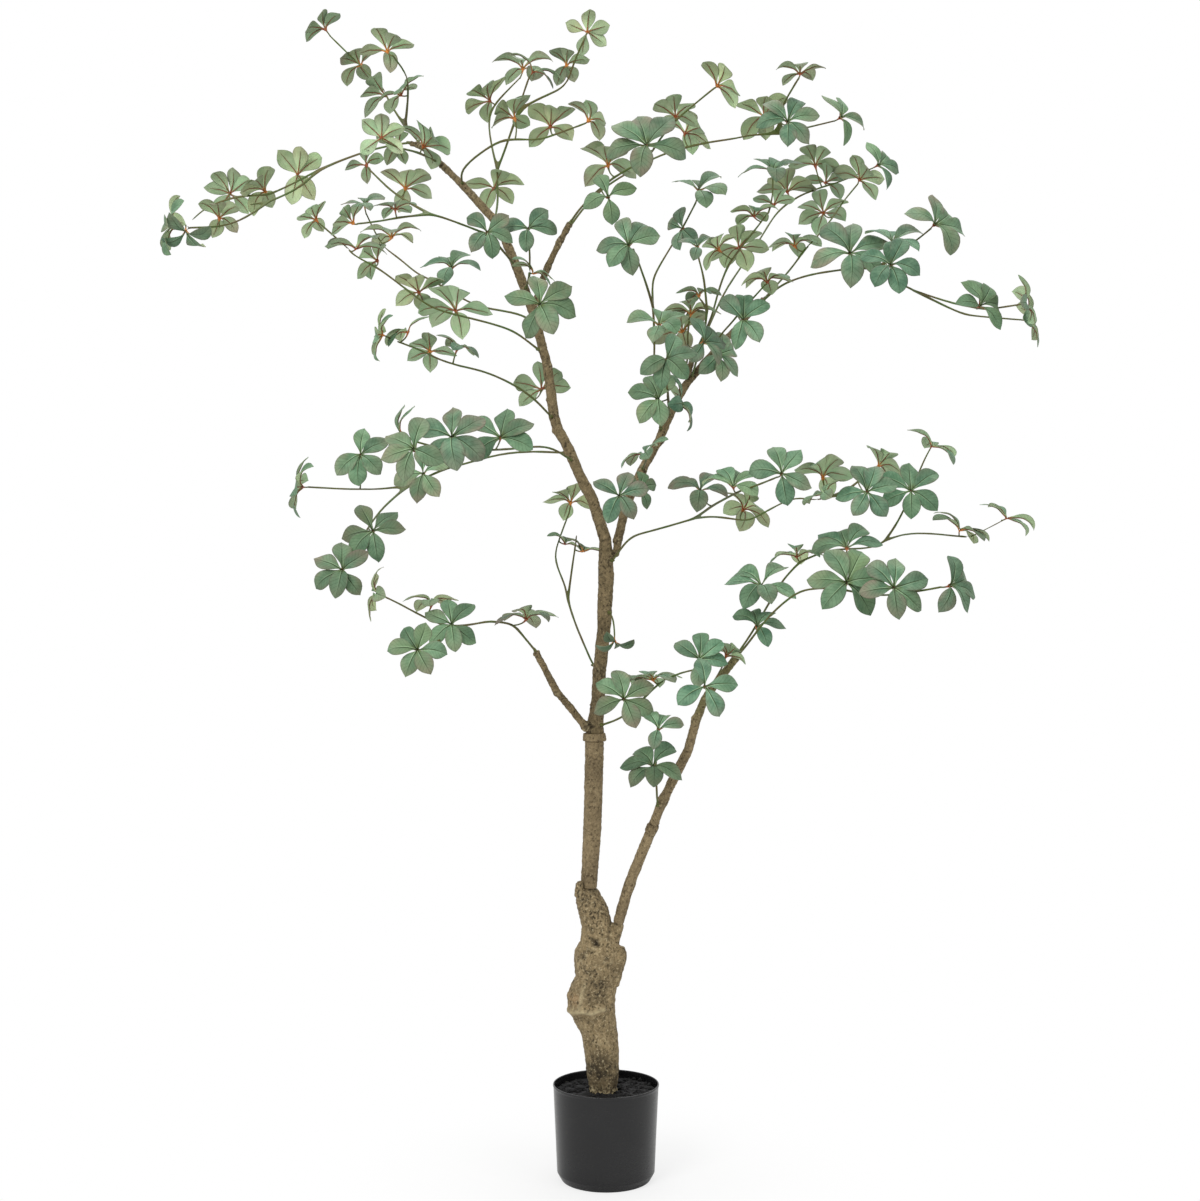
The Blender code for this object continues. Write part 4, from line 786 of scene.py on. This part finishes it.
def add_stalk(patch, foot, hub, axis, hub_tone):
    """A stalk curved from the stem into the hub, which it meets along the whorl's axis."""
    run = (foot - hub).length
    bend = (foot + hub) / 2 * 0.45 + (hub - axis * run * 0.5) * 0.55
    rings, fields = [], []
    side = axis.orthogonal().normalized()
    warm_run = min(1.0, WARM_RUN / run)
    for t, radius in STALK_STEPS:
        place = foot * (1 - t) ** 2 + bend * (2 * t * (1 - t)) + hub * t ** 2
        along = ((bend - foot) * (1 - t) + (hub - bend) * t).normalized()
        side = (side - along * side.dot(along)).normalized()
        rings.append(ring(place, side, along.cross(side), radius * 0.001, STALK_SIDES))
        warm = max(0.0, 1.0 - (1.0 - t) / warm_run)
        fields += [(warm, 0.0, hub_tone)] * STALK_SIDES
    for reach, radius in ((0.0004, 0.0016), (-0.0006, 0.0007)):  # the dimple in its top
        rings.append(ring(hub + axis * reach, side, axis.cross(side), radius, STALK_SIDES))
        fields += [(0.56, 0.0, 0.3)] * STALK_SIDES
    patch.tube(rings, fields)


def stalk_foot(form, whorl, leaf_verts):
    """Where a whorl's stalk goes into its stem."""
    hub = whorl["hub"]
    near = dict.fromkeys(v for corner in whorl["corners"] for v in around(corner))
    behind = [v for v in near
              if v not in leaf_verts and (v.co - hub).length > HUB_CORNER * 1.3
              and (v.co - hub).dot(whorl["axis"]) < -0.12 * (v.co - hub).length]
    if not behind:  # no stem was found there, so a short stalk goes down the axis
        whorl["entry"] = hub - whorl["axis"] * 0.003
        return hub - whorl["axis"] * 0.008
    entry = sum((v.co for v in behind), Vector()) / len(behind)
    whorl["entry"] = entry
    return entry + (entry - hub).normalized() * 0.0008


# ---------------------------------------------------------------- stems
def on_leaf(place, leaf):
    """Whether a place lies on or in the solid of a CAD leaf."""
    run = place - leaf["hub"]
    length = leaf["length"]
    way = (leaf["tip"] - leaf["hub"]).normalized()
    along = run.dot(way) / length
    if not -0.005 <= along <= 1.005:
        return False
    slack = leaf.get("slack", LEAF_SLACK)
    taper = min(along / LEAF_WIDEST, (1.0 - along) / (1.0 - LEAF_WIDEST))
    if abs(run.dot(way.cross(leaf["upper"]))) > taper * length * LEAF_WIDTH / 2 + slack:
        return False
    return -LEAF_KEEL - 2 * slack < run.dot(leaf["upper"]) < slack


def groups(things, neighbours):
    """The things in groups, each of things that hang together."""
    left, found = dict.fromkeys(things), []
    while left:
        queue, group = [next(iter(left))], []
        del left[queue[0]]
        while queue:
            group.append(queue.pop())
            for other in neighbours(group[-1]):
                if other in left:
                    del left[other]
                    queue.append(other)
        found.append(group)
    return found


def islands(form):
    """The vertices of each connected part of a mesh."""
    return groups(form.verts, around)


def rim_loops(form):
    """The mesh's open rims, each as its edges."""
    return groups([edge for edge in form.edges if len(edge.link_faces) == 1],
                  lambda edge: [other for vertex in edge.verts for other in vertex.link_edges])


def loop_centre(loop):
    return sum((v.co for edge in loop for v in edge.verts), Vector()) / (2 * len(loop))


WIDEST_CUT = 0.006  # the longest cut in a stem that is bridged
FEWEST_VERTS = 12  # a part with fewer is a scrap


def join_parts(form):
    """Bridges the two ends of each stem that a leaf had cut in two."""
    while True:
        parts = islands(form)
        if len(parts) == 1:
            return
        owner = {v: i for i, part in enumerate(parts) for v in part}
        loops = [(owner[loop[0].verts[0]], loop_centre(loop), loop) for loop in rim_loops(form)
                 if len(loop) > 2]
        pairs = [((a[1] - b[1]).length, i, j) for i, a in enumerate(loops)
                 for j, b in enumerate(loops) if i < j and a[0] != b[0]]
        if not pairs or min(pairs)[0] > WIDEST_CUT:
            return
        _, i, j = min(pairs)
        bmesh.ops.bridge_loops(form, edges=loops[i][2] + loops[j][2])


def strip_leaves(form, whorls):
    """Takes the whorls away from a spray's mesh, leaving its stem closed."""
    leaves = [leaf for whorl in whorls for leaf in whorl["leaves"]]
    corners = {v for whorl in whorls for v in whorl["corners"]}
    tips = dict.fromkeys(v for leaf in leaves for v in leaf["verts"])
    stem = {v for v in form.verts if v not in tips and v not in corners
            and not any(on_leaf(v.co, leaf) for leaf in leaves)}
    bmesh.ops.delete(form, geom=list(tips), context="VERTS")
    loose = [face for face in form.faces if not any(v in stem for v in face.verts)
             and not all(v in corners for v in face.verts)]
    bmesh.ops.delete(form, geom=loose, context="FACES")
    for whorl in whorls:
        corners = [v for v in whorl["corners"] if v.is_valid]
        bmesh.ops.pointmerge(form, verts=corners, merge_co=whorl["entry"])
    bmesh.ops.dissolve_degenerate(form, dist=1e-6, edges=form.edges)
    for part in islands(form):
        if len(part) < FEWEST_VERTS:
            bmesh.ops.delete(form, geom=part, context="VERTS")
    join_parts(form)
    for _ in range(3):
        spare = [edge for edge in form.edges if not edge.link_faces]
        bmesh.ops.delete(form, geom=spare, context="EDGES")
        rims = [edge for edge in form.edges if len(edge.link_faces) == 1]
        if not rims:
            break
        bmesh.ops.holes_fill(form, edges=rims, sides=0)
    bmesh.ops.delete(form, geom=[v for v in form.verts if not v.link_faces], context="VERTS")
    bmesh.ops.recalc_face_normals(form, faces=form.faces)
    bmesh.ops.join_triangles(
        form, faces=form.faces, angle_face_threshold=math.radians(8.0),
        angle_shape_threshold=math.radians(60.0))


def find_roots(form):
    """The stem's flat root ends: (centre, way out of the stem)."""
    roots = []
    for face in form.faces:
        sides = [edge.calc_length() for edge in face.edges]
        if len(sides) == 4 and all(abs(side - ROOT_SIDE) < ROOT_SIDE * 0.02 for side in sides):
            roots.append((face.calc_center_median(), face.normal.copy()))
    return roots


def shaped(mesh, *modifiers):
    """The mesh that modifiers make of a mesh, which is removed.  Each is its type and settings."""
    helper = link(mesh.name, mesh)
    for kind, settings in modifiers:
        modifier = helper.modifiers.new(kind, kind)
        for key, value in settings.items():
            setattr(modifier, key, value)
    shown = helper.evaluated_get(bpy.context.evaluated_depsgraph_get())
    fine = bpy.data.meshes.new_from_object(shown)
    bpy.data.objects.remove(helper)
    bpy.data.meshes.remove(mesh)
    return fine


def read_form(mesh):
    """A bmesh of a mesh, which is removed."""
    form = bmesh.new()
    form.from_mesh(mesh)
    bpy.data.meshes.remove(mesh)
    form.normal_update()
    return form


def smooth_stem(form, name):
    """The stem's form rounded by subdivision and a little knobbly, as points and faces."""
    fine = read_form(shaped(mesh_of(form, name + "_form"),
                            ("SUBSURF", {"levels": 2})))
    for vertex in fine.verts:
        knobble = noise.noise(vertex.co * 190.0) * 0.00022 + noise.noise(vertex.co * 60.0) * 0.00018
        vertex.co += vertex.normal * (STEM_SWELL + knobble)
    points = [vertex.co.copy() for vertex in fine.verts]
    faces = [tuple(vertex.index for vertex in face.verts) for face in fine.faces]
    fine.free()
    return points, faces


# (distance out from the stem's root end in m, radius in mm)
ROOT_STEPS = ((-0.0075, 1.2), (-0.0060, 1.9), (-0.0030, 2.5), (0.0, 2.9), (0.0012, 2.7))
STEM_SWELL = 0.00022  # subdivision thins a stem, and this makes up for it


def add_root_collar(patch, centre, out):
    """The small swelling where a stem is plugged into its carrier."""
    side, other = flat_axes(out)
    rings = [ring(centre + out * reach, side, other, radius * 0.001, STALK_SIDES)
             for reach, radius in ROOT_STEPS]
    patch.tube(rings, [(0.15, 0.0, 0.2)] * (STALK_SIDES * len(rings)))


# The knots of the bark, (place, reach): where stems and limbs are seated, and scars of twigs.
KNOTS = []
ROOT_KNOT, LIMB_KNOT = 0.0050, 0.0080
KNOT_RANGE = 2.4  # reaches, beyond which a knot does nothing
SCARS = (("trunk_upper", 12), ("limb_right", 5), ("limb_top", 3), ("limb_low_right_upper", 5),
         ("limb_low_right", 2), ("limb_lower_left", 3))


def build_spray(node, index, finishes):
    """Draws one spray again: its whorls, its stem and the swellings at its roots."""
    dice = random.Random(1000 + index)
    form = welded(node)
    whorls = find_whorls(form)
    leaf_verts = {v for whorl in whorls for leaf in whorl["leaves"] for v in leaf["verts"]}
    patch = Patch()
    for whorl in whorls:
        hub_tone = dice.random()
        foot = stalk_foot(form, whorl, leaf_verts)
        add_stalk(patch, foot, whorl["hub"], whorl["axis"], hub_tone)
        yellow = dice.uniform(0.0, 0.7)
        mauve = dice.uniform(-0.1, 0.6)
        rise = dice.uniform(0.55, 0.95)
        light = dice.uniform(0.78, 1.12)
        for leaf in spread(whorl):
            tone = (
                min(1.0, max(0.0, yellow + dice.uniform(-0.2, 0.2))),
                min(1.0, max(0.0, mauve + dice.uniform(-0.3, 0.4))),
                light * dice.uniform(0.74, 1.12),
            )
            add_leaf(patch, leaf, tone, hub_tone, rise, dice)
    strip_leaves(form, whorls)
    for centre, out in find_roots(form):
        add_root_collar(patch, centre, out)
        KNOTS.append((centre, ROOT_KNOT))
    patch.add(*smooth_stem(form, node), STEM)
    finish_piece(node + "_foliage", node, "foliage", patch.mesh(node + "_foliage"), *finishes)


# ---------------------------------------------------------------- bark
def remeshed(node, voxel):
    """The CAD node's shape as an even fine mesh."""
    return shaped(mesh_of(welded(node), node + "_form"),
                  ("REMESH", {"mode": "VOXEL", "voxel_size": voxel}),
                  ("SMOOTH", {"factor": 0.5, "iterations": 4}))


def bark_relief(place, coarse, rough):
    """Height in metres and share of painted shade, more in the hollows, of the moulded bark at a
    point: lumps and ridges of about a centimetre, and pebbles, grain and pits of a few millimetres."""
    ridge = 1.0 - abs(noise.noise(place * 95.0)) * 2.2
    lump = noise.noise(place * 46.0 + Vector((3.1, 0.0, 7.7)))
    stretched = Vector((place.x * 230.0, place.y * 230.0, place.z * 190.0))
    pebble = noise.noise(stretched)
    grain = noise.noise(stretched * 2.1 + Vector((1.0, 9.0, 5.0)))
    crowd = noise.noise(place * 60.0 + Vector((8.0, 2.0, 1.0)))
    pit = max(0.0, noise.noise(stretched * 1.7 + Vector((11.0, 4.0, 0.0))) - 0.30 + 0.25 * crowd
              + 0.25 * (rough - 1.0))
    height = coarse * (0.0014 * lump + 0.0007 * ridge)
    height += 0.00055 * pebble * rough + 0.00035 * grain * rough - 0.0024 * pit
    painted_hollow_shade = 0.30 - 0.5 * pebble - 0.3 * grain + 2.8 * pit - 0.4 * coarse * lump
    return height, min(1.0, max(0.0, painted_hollow_shade))


def limb_knots():
    """Where the limbs are seated on the trunk: the middle of their bark nearest to it."""
    form = welded("trunk_upper")
    bark = BVHTree.FromBMesh(form)
    form.free()
    for node in ("limb_right", "limb_top", "limb_lower_left"):
        form = welded(node)
        near = [v.co.copy() for v in form.verts if bark.find_nearest(v.co, 0.0025)[0] is not None]
        form.free()
        if near:
            KNOTS.append((sum(near, Vector()) / len(near), LIMB_KNOT))


def twig_scars():
    """Small scars where twigs were moulded off, at some of the corners of the limbs' kinks."""
    dice = random.Random(31)
    for node, count in SCARS:
        form = welded(node)
        corners = sorted((v.co.z, v.co.x, v.co.y) for v in form.verts)
        form.free()
        for z, x, y in dice.sample(corners, count):
            KNOTS.append((Vector((x, y, z)), dice.uniform(0.0045, 0.0075)))


def hump(distance, reach):
    """1 at distance 0, falling smoothly to 0 beyond about twice the reach."""
    return math.exp(-(distance / reach) ** 2)


def step(value, low, high):
    """0 below low, 1 above high and smooth between."""
    share = min(1.0, max(0.0, (value - low) / (high - low)))
    return share * share * (3.0 - 2.0 * share)


# The gnarled foot's own marks: share of its height, place across from the middle of its box as a
# share of its width, reach and height in mm, and how much darker, paler and warmer it is there
# (0 where left out).  Holes darkened with painted shade, knobs and rims painted paler as
# highlights, and dark spots, at the front and at the back.
FRONT_MARKS = (
    (0.769, -0.016, 4.6, -6.4, 1.3), (0.782, -0.076, 2.6, -2.4, 0.8),
    (0.759, 0.038, 2.4, -2.4, 0.8), (0.748, -0.049, 3.4, 1, 0, 0.5),
    (0.781, 0.074, 2.6, 0.8, 0, 0.5), (0.71, 0.174, 3.4, -4, 1.2), (0.681, 0.198, 2.9, -2.6, 0.8),
    (0.698, 0.124, 2.2, 0.8, 0, 0.8), (0.695, 0.238, 2.2, 0.8, 0, 0.7),
    (0.713, -0.216, 2.8, -2.4, 0.9), (0.724, -0.162, 2.2, 0.6, 0, 0.8),
    (0.698, -0.256, 2.4, 0.6, 0, 0.6), (0.887, -0.082, 2.6, -2, 0.6),
    (0.861, -0.072, 2.8, -2.2, 0.75), (0.914, -0.116, 2.6, -1.4, 0.5, 0.2),
    (0.956, -0.289, 3, 0.6, 0, 0.6), (0.928, -0.236, 2.6, -1.4, 0.7),
    (0.983, -0.196, 2.8, 0.4, 0, 0.6), (0.959, -0.109, 2.6, -1.2, 0.5, 0.2),
    (0.831, 0.231, 3, -1.4, 0.8), (0.805, 0.214, 3, -1.6, 0.85), (0.782, 0.201, 2.8, -1.4, 0.7),
    (0.635, 0.191, 2.6, -1, 0.45), (0.597, 0.184, 2.6, -1, 0.45), (0.557, 0.178, 2.6, -1, 0.4),
    (0.551, -0.362, 8, 1.4, 0, 0.1, 0.8), (0.33, -0.009, 12, -0.8, 0.62),
    (0.311, 0.131, 9, -0.3, 0.55), (0.28, -0.076, 8, -0.4, 0.45), (0.255, 0.058, 9, 0, 0.4),
    (0.383, -0.042, 3, 0.8, 0, 0.4), (0.382, 0.064, 3, 0.8, 0, 0.4),
    (0.386, 0.171, 3, 0.8, 0, 0.4), (0.733, 0.477, 3.4, -0.6, 0.55),
)
BACK_MARKS = (
    (0.61, 0.3, 5, -4, 0.9, 0.1), (0.42, -0.2, 6, -3.6, 0.9), (0.82, 0.05, 4.5, -3, 0.8, 0.2),
)
TRUNK_LOW, TRUNK_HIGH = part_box("trunk_base")
SOIL_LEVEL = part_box("soil_top")[1].z


def trunk_marks(place, normal):
    """Height, rough, darker, paler and warmer on the gnarled foot of the trunk."""
    size = TRUNK_HIGH - TRUNK_LOW
    share = (place.z - TRUNK_LOW.z) / size.z
    across = (place.x - (TRUNK_LOW.x + TRUNK_HIGH.x) / 2) / size.x
    facing = -normal.y
    height, rough, dark, pale, warm = 0.0, 1.0, 0.0, 0.0, 0.0
    for level, side, reach, rise, darker, *tints in (
            (FRONT_MARKS if facing >= -0.2 else ()) + (BACK_MARKS if facing <= 0.2 else ())):
        paler, warmer = (*tints, 0.0, 0.0)[:2]
        distance = math.hypot((share - level) * size.z, (across - side) * size.x)
        weight = hump(distance, reach / 1000)
        height += rise / 1000 * weight
        dark += darker * weight
        pale += paler * weight
        warm += warmer * weight
    # The ledge across the front, a recess above it with a raised left edge, and a shadow below.
    # The ledge and the edge carry painted highlights, the recess painted shade, and the shadow
    # below is painted over a small dip.
    ledge = 0.506 + 0.02 * (across + 0.1) + 0.004 * math.sin(across * 19.0)
    shelf = (1.0 - step(across, 0.10, 0.20)) * step(facing, -0.5, 0.2)
    on_ledge = hump((share - ledge) * size.z, 0.0038) * shelf
    recess = step(share, ledge + 0.012, ledge + 0.03) * (1.0 - step(share, 0.60, 0.66))
    recess *= step(across, -0.25, -0.15) * (1.0 - step(across, 0.12, 0.22))
    recess *= step(facing, 0.0, 0.5)
    edge = hump((across + 0.205 + 0.97 * (0.597 - share)) * size.x, 0.0032)
    edge *= step(share, ledge, ledge + 0.02) * (1.0 - step(share, 0.58, 0.66))
    edge *= step(facing, 0.0, 0.4)
    under = hump((share - ledge + 0.032) * size.z, 0.0040) * shelf
    height += 0.0036 * on_ledge - 0.0030 * recess + 0.0024 * edge - 0.0014 * under
    rough += 0.8 * recess + 0.7 * step(share, 0.80, 0.90) - 0.6 * on_ledge
    rough -= 0.3 * (1.0 - step(share, 0.36, 0.46)) * step(share, 0.24, 0.34)
    # Torn pale bark just above the soil, and bark that is darker towards the soil over it.
    foot = 1.0 - step(place.z, SOIL_LEVEL + 0.003, SOIL_LEVEL + 0.011)
    torn = step(noise.noise(place * 260.0), -0.05, 0.25)
    # painted highlights on the ledge and its raised edge, and torn pale bark at the foot
    pale += 0.85 * on_ledge + 0.55 * edge + 0.9 * foot * torn
    height += 0.0016 * foot * (torn - 0.4)
    darker_low = 1.0 - step(place.z, SOIL_LEVEL + 0.030, SOIL_LEVEL + 0.058)
    darker_low *= 0.30 + 0.45 * step(noise.noise(place * 120.0), -0.2, 0.3)
    # painted shade in the recess and a painted shadow under the ledge, then darker at the foot and
    # towards the soil
    dark += 0.32 * recess + 0.38 * under + 0.6 * foot * (1.0 - torn) + darker_low * (1.0 - foot)
    dark += 0.14 * step(share, 0.80, 0.90)
    return height, rough, min(1.0, dark), min(1.0, pale), min(1.0, warm)


BARK_SWELL = 0.0003  # remeshing and smoothing shrink a form, and this makes up for it
BARK_VOXEL, LIMB_VOXEL = 0.0015, 0.0016
LIMB_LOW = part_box("limb_low_right_upper")[0].z


def fresh_bark(place):
    """How green the bark is at a place: the low right limb's far end is green."""
    return 0.8 * step(place.z, LIMB_LOW + 0.15, LIMB_LOW + 0.19)


def build_bark(node, finish, voxel, coarse, green=None, marks=None):
    """Draws a bark piece again: relief, its own marks and the knots that lie on it."""
    mesh = remeshed(node, voxel)
    count = len(mesh.vertices)
    normals = np.zeros(count * 3)
    mesh.vertex_normals.foreach_get("vector", normals)
    normals = normals.reshape(-1, 3)
    fields = np.zeros((count, 3))
    marks_and_painted_light = np.zeros((count, 3))
    low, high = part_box(node)
    knots = [(spot, reach) for spot, reach in KNOTS
             if all(low[k] - 0.01 < spot[k] < high[k] + 0.01 for k in range(3))]
    for i, vertex in enumerate(mesh.vertices):
        place = vertex.co.copy()
        normal = Vector(normals[i])
        own, rough = 0.0, 1.0
        if marks:
            own, rough, *marks_and_painted_light[i] = marks(place, normal)
        for spot, reach in knots:
            run = (place - spot).length
            if run > KNOT_RANGE * reach:
                continue
            weight = hump(run, reach)
            torn = step(noise.noise(place * 300.0), -0.1, 0.2)
            own += weight * (0.0016 + 0.0009 * torn)
            rough += 0.8 * weight
            marks_and_painted_light[i][0] = min(1.0, marks_and_painted_light[i][0] + 0.6 * weight * (1.0 - torn))
            marks_and_painted_light[i][1] = min(1.0, marks_and_painted_light[i][1] + 0.5 * weight * torn)
        height, painted_hollow_shade = bark_relief(place, coarse, rough)
        broad = max(0.0, noise.noise(place * 22.0 + Vector((5.0, 1.0, 2.0))))
        fields[i] = (painted_hollow_shade, min(1.0, 1.6 * broad), green(place) if green else 0.0)
        vertex.co = place + normal * (height + own + BARK_SWELL)
    put_field(mesh, "bark", fields)
    put_field(mesh, "marks_and_painted_light", marks_and_painted_light)
    finish_piece(node + "_bark", node, "bark", mesh, finish)


# ---------------------------------------------------------------- pot and soil
POT_STEPS = 144
POT_ROUND, POT_RUN = 0.0011, 0.008  # the radius of its corners and its longest face
CRUMBS = 620
SOIL_VOXEL = 0.0022


def pot_profile():
    """The CAD pot's (radius, height) from the middle of its underside round to its inside."""
    form = welded("pot")
    meridian = {v for v in form.verts if abs(v.co.y) < 1e-5 and v.co.x > 0.0}
    current = min(meridian, key=lambda v: (round(v.co.z, 5), -v.co.x))
    line = [(0.0, current.co.z)]
    while current is not None:
        meridian.discard(current)
        line.append((current.co.x, current.co.z))
        current = next((v for v in around(current) if v in meridian), None)
    line.append((0.0, line[-1][1]))
    form.free()
    return line


def rounded(line, reach, run):
    """The profile with its corners rounded and its long runs divided."""
    places = [Vector(spot) for spot in line]
    result = [places[0]]
    for before, corner, after in zip(places, places[1:], places[2:]):
        back, ahead = before - corner, after - corner
        start = corner + back.normalized() * min(reach, back.length * 0.4)
        end = corner + ahead.normalized() * min(reach, ahead.length * 0.4)
        for t in (0.0, 0.3, 0.7, 1.0):
            result.append(start * (1 - t) ** 2 + corner * (2 * t * (1 - t)) + end * t ** 2)
    result.append(places[-1])
    fine = [result[0]]
    for first, second in zip(result, result[1:]):
        pieces = max(1, math.ceil((second - first).length / run))
        fine += [first.lerp(second, k / pieces) for k in range(1, pieces + 1)]
    return fine


def build_pot(finish):
    """The pot turned from its profile, a little out of round."""
    line = rounded(pot_profile(), POT_ROUND, POT_RUN)
    form = bmesh.new()
    turns = [TAU * k / POT_STEPS for k in range(POT_STEPS)]
    rings = []
    for radius, height in line[1:-1]:
        corners = []
        for turn in turns:
            way = Vector((math.cos(turn), math.sin(turn), 0.0))
            sag = noise.noise(way * 1.3 + Vector((0.0, 0.0, height * 9.0))) * 0.0003
            corners.append(form.verts.new(way * (radius + sag) + Vector((0.0, 0.0, height))))
        rings.append(corners)
    for first, second in zip(rings, rings[1:]):
        for k in range(POT_STEPS):
            after = (k + 1) % POT_STEPS
            form.faces.new((first[k], first[after], second[after], second[k]))
    for corners, spot in ((rings[0], line[0]), (rings[-1], line[-1])):
        middle = form.verts.new((0.0, 0.0, spot[1]))
        for k in range(POT_STEPS):
            form.faces.new((middle, corners[k], corners[(k + 1) % POT_STEPS]))
    bmesh.ops.recalc_face_normals(form, faces=form.faces)
    finish_piece("pot_shell", "pot", "pot_plastic", mesh_of(form, "pot_shell"), finish)


def build_soil(finish):
    """The crumb layer: the CAD disc made lumpy, with crumbs pressed into its top."""
    dice = random.Random(77)
    form = read_form(remeshed("soil_top", SOIL_VOXEL))
    low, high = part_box("soil_top")
    radius = (high.x - low.x) / 2
    for vertex in form.verts:
        if vertex.normal.z > 0.3:
            place = vertex.co
            run = math.hypot(place.x, place.y) / radius
            lump = noise.noise(place * 75.0) * 0.0022 + noise.noise(place * 230.0) * 0.0012
            vertex.co.z += (lump - 0.0004) * (1.0 - 0.5 * step(run, 0.9, 1.0))
    for _ in range(CRUMBS):
        run = radius * 0.965 * math.sqrt(dice.random())
        turn = dice.uniform(0.0, TAU)
        size = dice.uniform(0.0011, 0.0034) * (1.0 + 0.5 * dice.random() ** 4)
        place = Vector((run * math.cos(turn), run * math.sin(turn), 0.0))
        place.z = high.z - 0.0030 + size * dice.uniform(0.1, 0.6)
        shape = Matrix.Translation(place) @ Matrix.Rotation(dice.uniform(0, 6.28), 4, (
            dice.uniform(-1, 1), dice.uniform(-1, 1), 1.0)) @ Matrix.Diagonal((
                dice.uniform(0.8, 1.4), dice.uniform(0.6, 1.0), dice.uniform(0.5, 0.9), 1.0))
        made = bmesh.ops.create_icosphere(form, subdivisions=2, radius=size, matrix=shape)
        for vertex in made["verts"]:
            way = vertex.co - place
            vertex.co = place + way * (1.0 + 0.35 * noise.noise(vertex.co * 420.0))
    finish_piece("soil_crumbs", "soil_top", "soil_crumb", mesh_of(form, "soil_crumbs"), finish)


# ---------------------------------------------------------------- the whole scene
build_camera()
build_world()
build_lamps()
build_floor()

finishes = (leaf_material("leaf_upper", under=False), leaf_material("leaf_under", under=True),
            stalk_material(), stem_material())
for index, node in enumerate(SPRAYS):
    build_spray(node, index, finishes)

trunk = bark_material("bark_trunk", srgb(134, 117, 86), srgb(158, 139, 104), srgb(42, 36, 26),
                      srgb(194, 178, 142), 0.85)
pole = bark_material("bark_pole", srgb(128, 112, 84), srgb(150, 132, 100), srgb(66, 54, 38),
                     srgb(184, 166, 130), 0.5)
limb = bark_material("bark_limb", srgb(114, 100, 72), srgb(138, 121, 90), srgb(52, 44, 30),
                     srgb(176, 156, 120), 0.45)
limb_knots()
twig_scars()
build_bark("trunk_base", trunk, BARK_VOXEL, 1.0, marks=trunk_marks)
for node in POLES:
    green = fresh_bark if node == "limb_low_right_upper" else None
    build_bark(node, pole, BARK_VOXEL, 0.35, green=green)
for node in LIMBS:
    build_bark(node, limb, LIMB_VOXEL, 0.45)

build_pot(pot_material())
build_soil(soil_material())
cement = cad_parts["cement_weight"].data
cement.materials.clear()
cement.materials.append(cement_material())

bpy.context.scene.view_settings.view_transform = "Standard"
